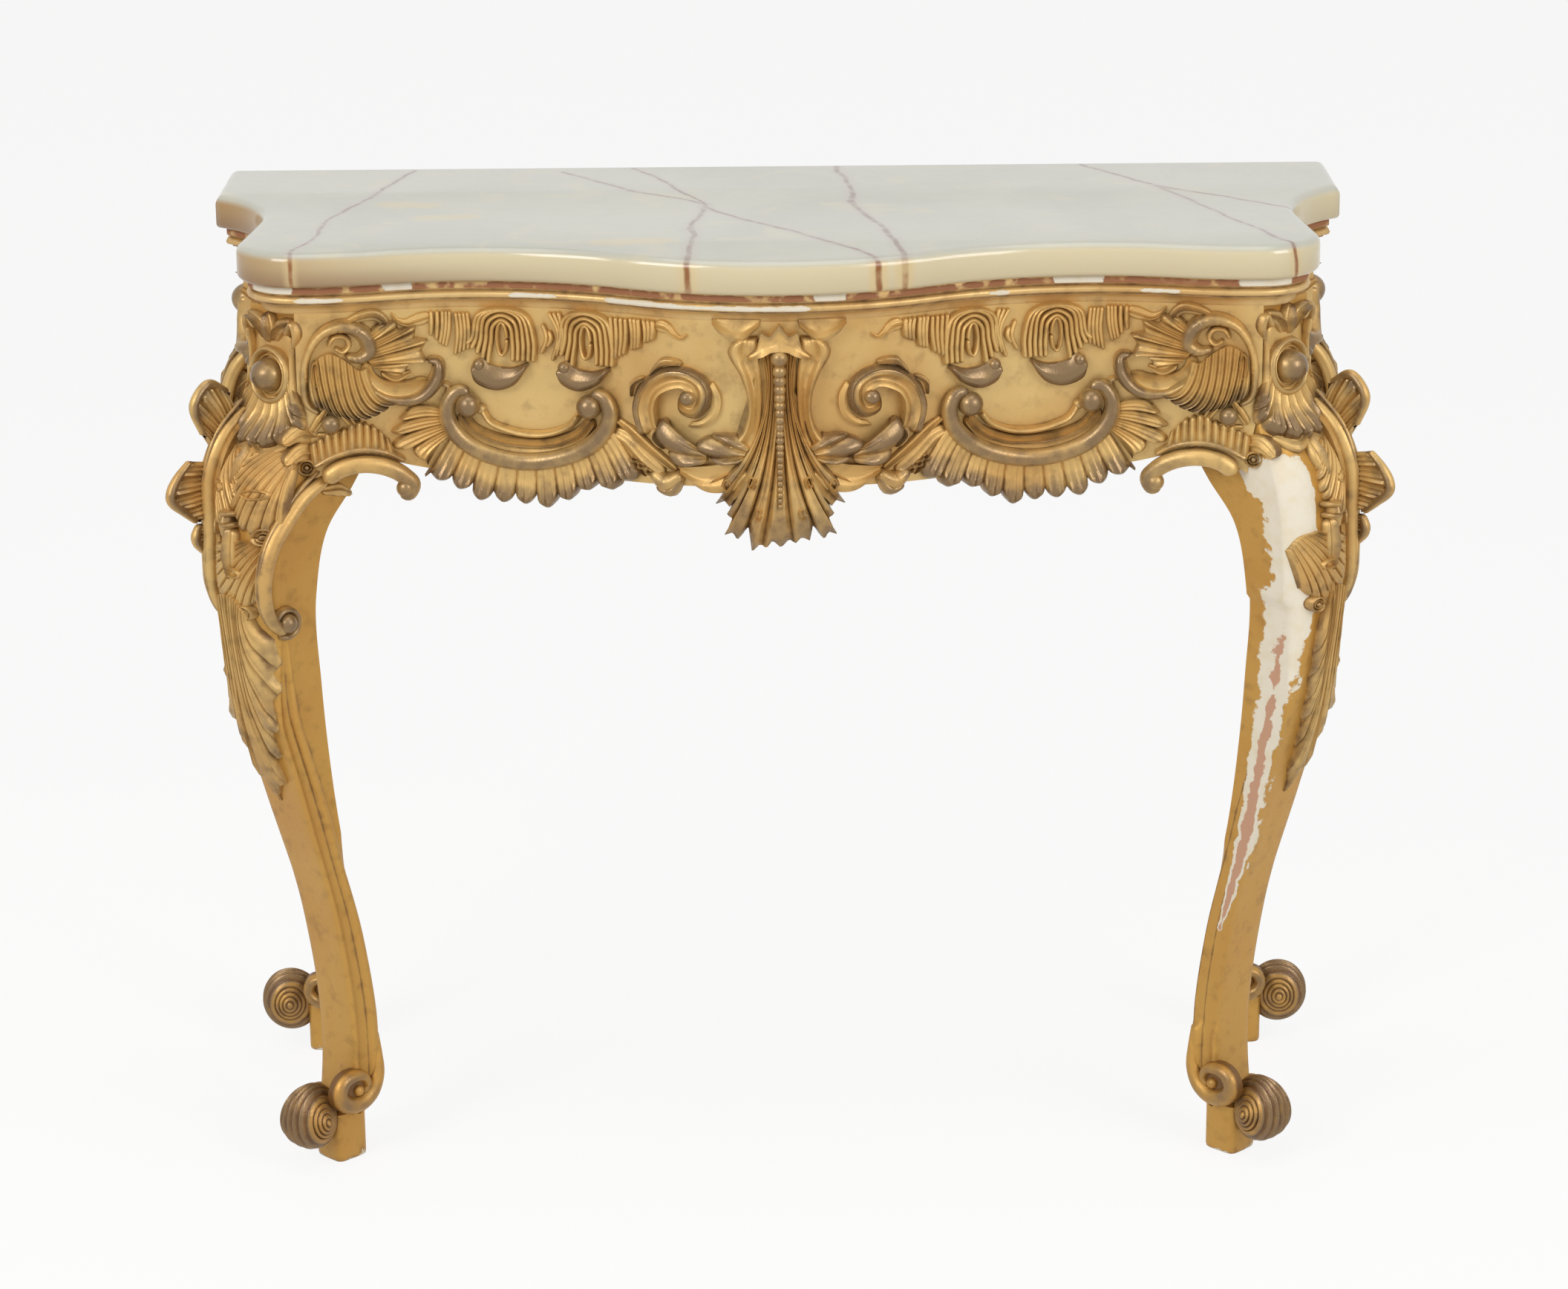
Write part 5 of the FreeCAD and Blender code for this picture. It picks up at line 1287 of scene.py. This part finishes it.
for leg, (side, front) in LEGS.items():
    narrow = 1.0 if front else BACK_TOE
    body = np.linspace(-ROLL_HALF, ROLL_HALF, ROLL_ROWS)[:, None]
    turn = np.linspace(0, 2 * math.pi, ROLL_TURNS, endpoint=False)
    ribs = np.cos(2 * math.pi * body / RIB_PITCH) + 0 * turn
    girth = 1 - ROLL_TAPER[0] * np.abs(body / ROLL_HALF) ** ROLL_TAPER[1] + RIB_DEPTH * ribs
    cone_at, cone_share = np.array(CONE).T[:, :, None]
    at = np.concatenate([-cone_at[::-1], body, cone_at])
    girth = np.concatenate([cone_share[::-1] + 0 * turn, girth, cone_share + 0 * turn])
    spread = narrow * (ROLL_SPREAD[0] + ROLL_SPREAD[1] * girth * np.cos(turn + ROLL_SPREAD[2]))
    rings = np.stack([
        ROLL_CENTRE[0] + ROLL_RADIUS * girth * np.cos(turn),
        spread * at,
        ROLL_CENTRE[1] + ROLL_RADIUS * ROLL_STRETCH * girth * np.sin(turn),
    ], 2)
    end_shade = np.array(CONE_STEP_SHADE)[:, None] + 0 * turn
    end_rub = 0 * end_shade + CONE_RUB
    rub = np.concatenate([end_rub, ROLL_RUB[0] + ROLL_RUB[1] * ribs, end_rub])
    roll_shading = np.clip(ROLL_GRIME_AND_SHADE[0] - ROLL_GRIME_AND_SHADE[1] * ribs, 0, 1)
    grime_and_shade = np.concatenate([end_shade[::-1], roll_shading, end_shade])
    carve(leg + "_toe_scroll", [(leg_to_room(rings, side, front), rub, grime_and_shade)], gilt_legs)

BLOCK_HALF = 19.0
BLOCK_POWER = 0.4
BLOCK_RINGS = ((0.9, 0), (0.97, 1), (1, 4), (1, 18), (1, 34), (1, 50))
BLOCK_TURNS = 40
WORN_HEIGHT = 12.0
# The block is darker towards its bottom, over its worn height.
BLOCK_LOW_DARKENING = 0.6
BLOCK_LOSS = 0.5
blocks = []
lost = []
for side, front in LEGS.values():
    turn = np.linspace(0, 2 * math.pi, BLOCK_TURNS, endpoint=False)
    wave = np.stack([np.cos(turn), np.sin(turn)], 1)
    square = np.sign(wave) * np.abs(wave) ** BLOCK_POWER
    rings = []
    for share, up in BLOCK_RINGS:
        rings.append(np.column_stack([BLOCK_HALF * share * square, np.full(len(turn), up)]))
    low = np.clip(1 - np.array(rings)[:, :, 2] / WORN_HEIGHT, 0, 1)
    blocks.append((leg_to_room(rings, side, front), 0 * low, BLOCK_LOW_DARKENING * low))
    lost.append(BLOCK_LOSS * low.ravel())
carve("foot_blocks", blocks, gilt_legs, {"loss": np.concatenate(lost)})


# Side aprons: one ornament on the middle of each side rail, carved in pine, gilded and glued to it. A shell
# hangs between two curls, and five leaves spring from its crown.
SIDE_MIDDLE = 168.5
EAR_X = 542.0
WAIST_X = 488.0
EAR_END = 120.2
HOLLOW_W = 225.2
CORNER_W = CREST_W - CORNER_RADIUS
HOLLOW_RADIUS = ((EAR_X - WAIST_X) ** 2 + (HOLLOW_W - EAR_END) ** 2) / (2 * (EAR_X - WAIST_X))
HOLLOW_X = WAIST_X + HOLLOW_RADIUS
TOUCHING = math.acos((CORNER_RADIUS + HOLLOW_RADIUS) / math.hypot(HOLLOW_X - CREST_X, CORNER_W - HOLLOW_W))
FLARE = math.atan2(CORNER_W - HOLLOW_W, HOLLOW_X - CREST_X) - TOUCHING
SIDE_TIPS = both_ways(((-62, 760), (-44, 738), (-23, 722), (0, 716)))
SIDE_ROOTS = both_ways(((-22, 806), (-18, 799), (-8, 795), (0, 794)))
SIDE_STROKES = (
    ("leaf", ((0, 802), (0, 826), (0, 854)), (6, 10, 3), (11, 14, 9), (0.2, 0.8)),
    ("round", both_ways(((-30, 812), (-18, 800), (0, 796))), (5, 6, 6.5, 6, 5), (10, 12, 13, 12, 10), 0.9),
) + mirrored((
    ("round", ((-86, 812), (-92, 790), (-76, 768), (-50, 772), (-44, 792), (-58, 800)), (4, 6, 7, 7, 6, 4),
     (9, 12, 12, 12, 11, 8), (0.5, 0.9)),
    ("leaf", ((-4, 808), (-14, 832), (-40, 845), (-78, 836)), (5, 9, 8, 3), (9, 11, 9, 6), (0.1, 0.6)),
    ("leaf", ((-3, 804), (-22, 817), (-42, 818), (-62, 826)), (4, 7, 6, 2), (9, 10, 8, 6), (0.1, 0.6)),
))


def on_side(side):
    """Lays points (from the middle towards the front, height, relief) on the face of a side rail."""
    def place(points):
        along, up, relief = points.T
        w = SIDE_MIDDLE + along
        true = HOLLOW_RADIUS + RAIL_INSET
        ear = math.sqrt(1 - ((HOLLOW_X - EAR_X + RAIL_INSET) / true) ** 2)
        turn = np.clip((HOLLOW_W - w) / true, -math.sin(FLARE), ear)
        bowed = HOLLOW_X - true * np.sqrt(1 - turn ** 2)
        flared = CREST_X + (CORNER_RADIUS - RAIL_INSET + math.sin(FLARE) * (w - CORNER_W)) / math.cos(FLARE)
        x = np.where(turn > -math.sin(FLARE), bowed, flared)
        turn = np.where(turn < ear, turn, 0.0)
        out_x = side * (x + relief * np.sqrt(1 - turn ** 2))
        return np.stack([out_x, WALL_Y - w - relief * turn, up], 1) * MM
    return place


shell = [stroke(*drawn) for drawn in SIDE_STROKES]
shell.append(fan(SIDE_ROOTS, SIDE_TIPS, len(SIDE_TIPS), (9, 9, 11, 12), (0.0, 0.3, 1.1), back=-7))
carve_pair("side_shell", shell, on_side)


# Cornice: a moulding of cap, bead and cove along the front and both sides, run in gesso over pine and
# mitred at the front corners. The red clay shows along the cap, and bead and cap have lost gold in places.
FRAME_TOP = 888.0
CORNICE_PROFILE = ((23, 859), (22, 860), (21.5, 862), (20, 865), (17.5, 868), (14.5, 869), (14, 869.6),
                   (14, 870.8), (11, 871.2), (9, 872.2), (8, 874.5), (9, 876.8), (11, 877.8), (13, 878.2),
                   (13, 879.6), (10.4, 880), (9.2, 881), (9, 883), (9, 886), (10, 888), (30, 888))
CAP_FROM = 880.0
BEAD_HEIGHT = 874.5
PLAN_COUNTS = (30, 30, 16, 16, 12)
SIDE_COUNTS = (8, 18, 10)
CAP_CLAY = 0.72
# Where grime and painted shade lie in the cornice's two grooves: height and width.
CORNICE_GROOVES = ((870.2, 1.2), (878.8, 1.0))
BEAD_LOSSES = ((-445, -396), (-250, -204), (-160, 30), (190, 215), (330, 372))
CAP_LOSSES = ((-482, -440), (-365, -334), (30, 62), (250, 300), (420, 470))
LOSS_FADE = 16.0
LOSS_SHARE = 0.75
BEAD_LOSS_HEIGHT = 3.0
CORNICE_GOLD = srgb(214, 182, 124)
MITRE = sum(PLAN_COUNTS) - PLAN_COUNTS[-1] // 2
gilt_cornice = gilt("gilt_cornice", CORNICE_GOLD, GREY_BURNISH, 0.5, 1.0, 0.04)


def plan_run(inset):
    """The right half of the plan at an inset from the slab's edge, from the front's middle to the wall."""
    run = []
    for (centre_x, centre_w, radius, bulge, start, end), count in zip(FRONT_ARCS, PLAN_COUNTS):
        true = radius - bulge * inset
        end += FLARE if end > 1 else 0
        turn = np.linspace(start, end, count + 1)[1 if run else 0:]
        run += list(zip(centre_x + true * np.sin(turn), centre_w + bulge * true * np.cos(turn)))
    true = HOLLOW_RADIUS + inset
    last = math.acos((HOLLOW_X - EAR_X + inset) / true)
    turn = np.linspace(-FLARE, last, SIDE_COUNTS[1] + 1)
    hollow = list(zip(HOLLOW_X - true * np.cos(turn), HOLLOW_W - true * np.sin(turn)))
    shares = np.linspace(0, 1, SIDE_COUNTS[0] + 1)[1:-1, None]
    run += list(np.array(run[-1]) + (np.array(hollow[0]) - run[-1]) * shares) + hollow
    ear = np.linspace(run[-1][1], 0, SIDE_COUNTS[2] + 1)[1:]
    return np.array(run + [(EAR_X - inset, w) for w in ear])


def plan_rings(profile):
    """Rows of points along the whole plan, left to right, one row for each profile point."""
    rows = []
    for inset, up in profile:
        right = plan_run(inset)
        whole = np.concatenate([right[:0:-1] * (-1, 1), right])
        rows.append(np.stack([whole[:, 0], WALL_Y - whole[:, 1], np.full(len(whole), up)], 1))
    return np.array(rows)


def runs(x, stretches):
    """A mark over some stretches along the front, fading at their ends."""
    inside = [np.minimum(x - start, end - x) / LOSS_FADE + 0.5 for start, end in stretches]
    return LOSS_SHARE * np.clip(np.max(inside, 0), 0, 1)


cornice_rows = plan_rings(CORNICE_PROFILE)
middle = cornice_rows.shape[1] // 2
CORNICE_RUNS = {
    "left_cornice": (0, middle - MITRE + 1),
    "front_cornice": (middle - MITRE, middle + MITRE + 1),
    "right_cornice": (middle + MITRE, cornice_rows.shape[1]),
}
for name, (start, end) in CORNICE_RUNS.items():
    rings = np.swapaxes(cornice_rows[:, start:end], 0, 1)
    rings = np.concatenate([rings, rings[:, -1:] * (1, 1, 0) + (0, 0, CORNICE_PROFILE[0][1])], 1)
    flat = rings.reshape(-1, 3)
    up = flat[:, 2]
    bead = np.exp(-((up - BEAD_HEIGHT) / BEAD_LOSS_HEIGHT) ** 2)
    marks = {
        "clay": np.where((up > CAP_FROM) & (up < FRAME_TOP - 0.5), CAP_CLAY, 0.0),
        "loss": np.maximum(runs(flat[:, 0], BEAD_LOSSES) * bead,
                           runs(flat[:, 0], CAP_LOSSES) * (up > CAP_FROM)),
        "grime_and_shade": sum(np.exp(-((up - groove) / wide) ** 2) for groove, wide in CORNICE_GROOVES),
    }
    make_piece(name, flat * MM, grid_faces(*rings.shape[:2], 0), gilt_cornice, marks)


# Slab: one polished plate of pale banded onyx that lies loose on the frame. Its veins run through its
# thickness, grey on the top and brown on the edge, and the edge is rounded over above and below.
TOP_Z = 920.0
TOP_ROUND = 9.0
UNDER_ROUND = 5.0
ROUND_STEPS = 7
over = np.linspace(0, math.pi / 2, ROUND_STEPS)
SLAB_PROFILE = (
    [(UNDER_ROUND * (1 - math.sin(t)), FRAME_TOP + UNDER_ROUND * (1 - math.cos(t))) for t in over]
    + [(0.0, (FRAME_TOP + TOP_Z) / 2)]
    + [(TOP_ROUND * (1 - math.cos(t)), TOP_Z - TOP_ROUND * (1 - math.sin(t))) for t in over]
)
VEINS = (
    ((-363, 214), (-392, 96), (-422, -32), (-439, -144), (-445, -230)),
    ((-210, 196), (-142, 110), (-72, 38), (-78, -79), (-83, -189), (-82, -240)),
    ((-72, 30), (-19, -49), (35, -116), (94, -200), (97, -240)),
    ((62, 214), (72, 49), (97, -86), (117, -200), (120, -240)),
    ((299, 214), (367, 106), (418, -33), (474, -165)),
    ((367, 106), (433, 41), (500, -20)),
    ((-137, 214), (-99, 126), (-72, 38)),
)
VEIN_HALF_WIDTHS = (2.4, 3.0, 3.0, 3.2, 2.4, 2.0, 2.2)
CREAM_SPOTS = (((-372, 52), (-330, 46)), ((-330, -12), (-290, -8)), ((-165, -130), (-105, -118)))
ONYX_PALE = srgb(185, 183, 169)
ONYX_GREY = srgb(174, 173, 160)
ONYX_WARM = srgb(199, 188, 158)
ONYX_GREEN = srgb(170, 176, 162)
CREAM = srgb(200, 182, 140)
RIND_LEFT = srgb(166, 122, 50)
RIND_RIGHT = srgb(210, 195, 156)
EDGE_LOW_BROWN = srgb(128, 84, 26)
VEIN_ON_EDGE = srgb(134, 78, 22)
VEIN_ON_TOP = srgb(138, 118, 106)
GLOW_ON_EDGE = srgb(206, 180, 130)
GLOW_ON_TOP = srgb(176, 168, 158)
CLOUD_SCALE = 4.2
BANDING_SCALE = 14.0
SHAKE_SCALE = 60.0
WARP_SCALE = 9.0
WARP = 0.03
CREAM_NEAR = 0.002
CREAM_FAR = 0.02
RIND_TOP = 0.912

rows = plan_rings(SLAB_PROFILE)
count = rows.shape[1]
flat = rows.reshape(-1, 3)
faces = []
for row in range(len(rows) - 1):
    for k in range(count - 1):
        low = row * count + k
        faces.append((low, low + 1, low + count + 1, low + count))
faces.append(tuple(range(count)))
faces.append(tuple(range(len(rows) * count - 1, (len(rows) - 1) * count - 1, -1)))
ends = [tuple(row * count + k for row in range(len(rows))) for k in (0, count - 1)]
faces.append(ends[0] + ends[1][::-1])


def off_line(tree, spot, start, end):
    """How far a spot on the slab lies from a straight line between two places, all in metres."""
    start, end = np.array((*start, 0.0)) * MM, np.array((*end, 0.0)) * MM
    run = end - start
    gone = add(tree, "VectorMath", {0: spot, 1: start}, operation="SUBTRACT").outputs["Vector"]
    share = add(tree, "VectorMath", {0: gone, 1: run / (run @ run)}, operation="DOT_PRODUCT").outputs["Value"]
    share = add(tree, "Clamp", {0: share}).outputs[0]
    beside = add(tree, "VectorMath", {0: run, "Scale": share}, operation="SCALE").outputs["Vector"]
    return add(tree, "VectorMath", {0: gone, 1: beside}, operation="DISTANCE").outputs["Value"]


onyx, tree, shader = new_material("pale_onyx")
place = add(tree, "TexCoord").outputs["Object"]
cloud = noise(tree, place, CLOUD_SCALE, 6.0, Distortion=0.6)
bands = noise(tree, place, BANDING_SCALE, 8.0, Distortion=1.2)
shake = noise(tree, place, SHAKE_SCALE, 4.0)
stone = blend(tree, ramp(tree, cloud, 0.35, 0.7), ONYX_PALE, ONYX_GREY)
stone = blend(tree, ramp(tree, bands, 0.52, 0.72, 0.0, 0.4), stone, ONYX_WARM)
stone = blend(tree, ramp(tree, bands, 0.4, 0.3, 0.0, 0.3), stone, ONYX_GREEN)
facing = add(tree, "SeparateXYZ", {0: add(tree, "NewGeometry").outputs["Normal"]}).outputs["Z"]
apart = add(tree, "SeparateXYZ", {0: place}).outputs
along_x = apart["X"]
rind = blend(tree, ramp(tree, along_x, -0.56, -0.3), RIND_LEFT, RIND_RIGHT)
# The edge is darker and browner towards its bottom, most at the left end.
lower = ramp(tree, apart["Z"], FRAME_TOP * MM, RIND_TOP, 0.9, 0.1)
lower = sums(tree, "MULTIPLY", lower, ramp(tree, along_x, -0.5, -0.1, 1.0, 0.25))
rind = blend(tree, lower, rind, EDGE_LOW_BROWN)
stone = blend(tree, ramp(tree, facing, 0.15, 0.85, 0.85, 0.0), stone, rind)
warp = add(tree, "TexNoise", {"Vector": place, "Scale": WARP_SCALE, "Detail": 3.0}).outputs["Color"]
warp = add(tree, "VectorMath", {0: warp, 1: (0.5, 0.5, 0.5)}, operation="SUBTRACT").outputs["Vector"]
warp = add(tree, "VectorMath", {0: warp, "Scale": WARP}, operation="SCALE").outputs["Vector"]
spot = add(tree, "VectorMath", {0: place, 1: warp}, operation="ADD").outputs["Vector"]
spot = add(tree, "VectorMath", {0: spot, 1: (1.0, 1.0, 0.0)}, operation="MULTIPLY").outputs["Vector"]
for start, end in CREAM_SPOTS:
    near = ramp(tree, off_line(tree, spot, start, end), CREAM_NEAR, CREAM_FAR, 0.6, 0.0)
    stone = blend(tree, near, stone, CREAM)
polished = ramp(tree, facing, 0.3, 0.8)
vein = blend(tree, polished, VEIN_ON_EDGE, VEIN_ON_TOP)
glow = blend(tree, polished, GLOW_ON_EDGE, GLOW_ON_TOP)
broken_up = ramp(tree, shake, 0.3, 0.62, 0.45, 1.0)
for line, half_width in zip(VEINS, VEIN_HALF_WIDTHS):
    for start, end in zip(line[:-1], line[1:]):
        off = off_line(tree, spot, start, end)
        halo = ramp(tree, off, half_width * MM, 4 * half_width * MM, 0.5, 0.0)
        stone = blend(tree, halo, stone, glow)
        core = ramp(tree, off, 0.3 * half_width * MM, 1.3 * half_width * MM, 0.95, 0.0)
        stone = blend(tree, sums(tree, "MULTIPLY", core, broken_up), stone, vein)
feed(tree, shader, {"Base Color": stone, "Roughness": ramp(tree, shake, 0.3, 0.7, 0.1, 0.2)})
shader.inputs["Subsurface Weight"].default_value = 0.12
shader.inputs["Subsurface Radius"].default_value = (0.009, 0.009, 0.007)
shader.inputs["IOR"].default_value = 1.55
make_piece("onyx_top", flat * MM, faces, onyx, {})


# Studio: a pale floor, a white surround, a broad lamp on the left, a weaker one on the right and a soft one
# overhead. Floor and surround show plain white to the camera, to mirrors and through glass.
def background_rays(tree):
    """1 for the rays that show the background itself: straight, mirrored or through glass."""
    rays = add(tree, "LightPath").outputs
    shown = sums(tree, "MAXIMUM", rays["Is Camera Ray"], rays["Is Transmission Ray"])
    return sums(tree, "MAXIMUM", shown, rays["Is Glossy Ray"])


FLOOR_HALF = 60.0
FLOOR_WHITE = 0.86
FLOOR_LIGHT = srgb(242, 242, 241)
FLOOR_DARK = srgb(238, 238, 238)
WHITE = (1, 1, 1, 1)
ROOM_TINT = (1.0, 0.99, 0.97, 1)
ROOM_LIGHT = 0.42
corners = [(x * FLOOR_HALF, y * FLOOR_HALF, 0.0) for x, y in ((-1, -1), (1, -1), (1, 1), (-1, 1))]
floor_mesh = bpy.data.meshes.new("studio_floor")
floor_mesh.from_pydata(corners, [], [(0, 1, 2, 3)])
floor = bpy.data.objects.new("studio_floor", floor_mesh)
bpy.context.scene.collection.objects.link(floor)
pale_floor, tree, shader = new_material("pale_floor")
dust = add(tree, "TexNoise", {"Scale": 3.0, "Detail": 4.0}).outputs["Fac"]
feed(tree, shader, {"Base Color": blend(tree, dust, FLOOR_LIGHT, FLOOR_DARK)})
shader.inputs["Roughness"].default_value = 0.7
glow = add(tree, "Emission", {"Color": WHITE, "Strength": 1.0})
seen = sums(tree, "MULTIPLY", background_rays(tree), FLOOR_WHITE)
mixed = add(tree, "MixShader", {0: seen, 1: shader.outputs[0], 2: glow.outputs[0]})
feed(tree, tree.nodes["Material Output"], {"Surface": mixed.outputs[0]})
floor_mesh.materials.append(pale_floor)

world = bpy.data.worlds.new("studio_surround")
bpy.context.scene.world = world
world.use_nodes = True
tree = world.node_tree
backdrop = tree.nodes["Background"]
backdrop.inputs["Color"].default_value = WHITE
backdrop.inputs["Strength"].default_value = 1.0
room = add(tree, "Background", {"Color": ROOM_TINT, "Strength": ROOM_LIGHT})
mixed = add(tree, "MixShader", {0: background_rays(tree), 1: room.outputs[0], 2: backdrop.outputs[0]})
feed(tree, tree.nodes["World Output"], {"Surface": mixed.outputs[0]})


def set_up(thing, spot, right, upward, back):
    """Puts a lamp or a camera at its spot, turned so that it looks away from its back."""
    turned = np.column_stack([right, upward, back])
    thing.matrix_world = Matrix.Translation(spot) @ Matrix(turned.tolist()).to_4x4()
    bpy.context.scene.collection.objects.link(thing)


LAMPS = (
    ("left_lamp", (-2.2, -2.6, 2.6), 1.6, 60.0),
    ("right_lamp", (2.4, -2.4, 2.2), 1.6, 46.0),
    ("top_lamp", (0.0, -0.4, 3.4), 2.2, 26.0),
)
AIM = np.array([0.0, 0.0, 0.55])
UPRIGHT = 0.95
for name, spot, size, power in LAMPS:
    lamp = bpy.data.lights.new(name, "AREA")
    lamp.size = size
    lamp.energy = power
    back = np.array(spot) - AIM
    back /= np.linalg.norm(back)
    right = np.cross((0.0, 1.0, 0.0) if abs(back[2]) > UPRIGHT else (0.0, 0.0, 1.0), back)
    right /= np.linalg.norm(right)
    set_up(bpy.data.objects.new(name, lamp), spot, right, np.cross(back, right), back)

# Camera: at the photograph's place and angle, level with a standing viewer's eyes. Its lens gives the
# photograph's field of view over a sensor 36 mm wide.
CAMERA_SPOT = (-0.0024, -4.083, 1.782)
CAMERA_YAW = math.radians(0.066)
CAMERA_PITCH = math.radians(17.53)
CAMERA_ROLL = math.radians(-0.481)
FOCAL_PIXELS = 5935.0
PHOTO_WIDTH = 2112.0
SENSOR_WIDTH = 36.0
yaw_cos, yaw_sin = math.cos(CAMERA_YAW), math.sin(CAMERA_YAW)
pitch_cos, pitch_sin = math.cos(CAMERA_PITCH), math.sin(CAMERA_PITCH)
roll_cos, roll_sin = math.cos(CAMERA_ROLL), math.sin(CAMERA_ROLL)
ahead = np.array([yaw_sin * pitch_cos, yaw_cos * pitch_cos, -pitch_sin])
level = np.array([yaw_cos, -yaw_sin, 0.0])
upward = np.cross(level, ahead)
camera_data = bpy.data.cameras.new("photo_camera")
camera_data.sensor_width = SENSOR_WIDTH
camera_data.lens = SENSOR_WIDTH * FOCAL_PIXELS / PHOTO_WIDTH
camera = bpy.data.objects.new("photo_camera", camera_data)
right = roll_cos * level + roll_sin * upward
set_up(camera, CAMERA_SPOT, right, roll_cos * upward - roll_sin * level, -ahead)
bpy.context.scene.camera = camera
bpy.context.scene.view_settings.view_transform = "Standard"

bpy.context.view_layer.update()
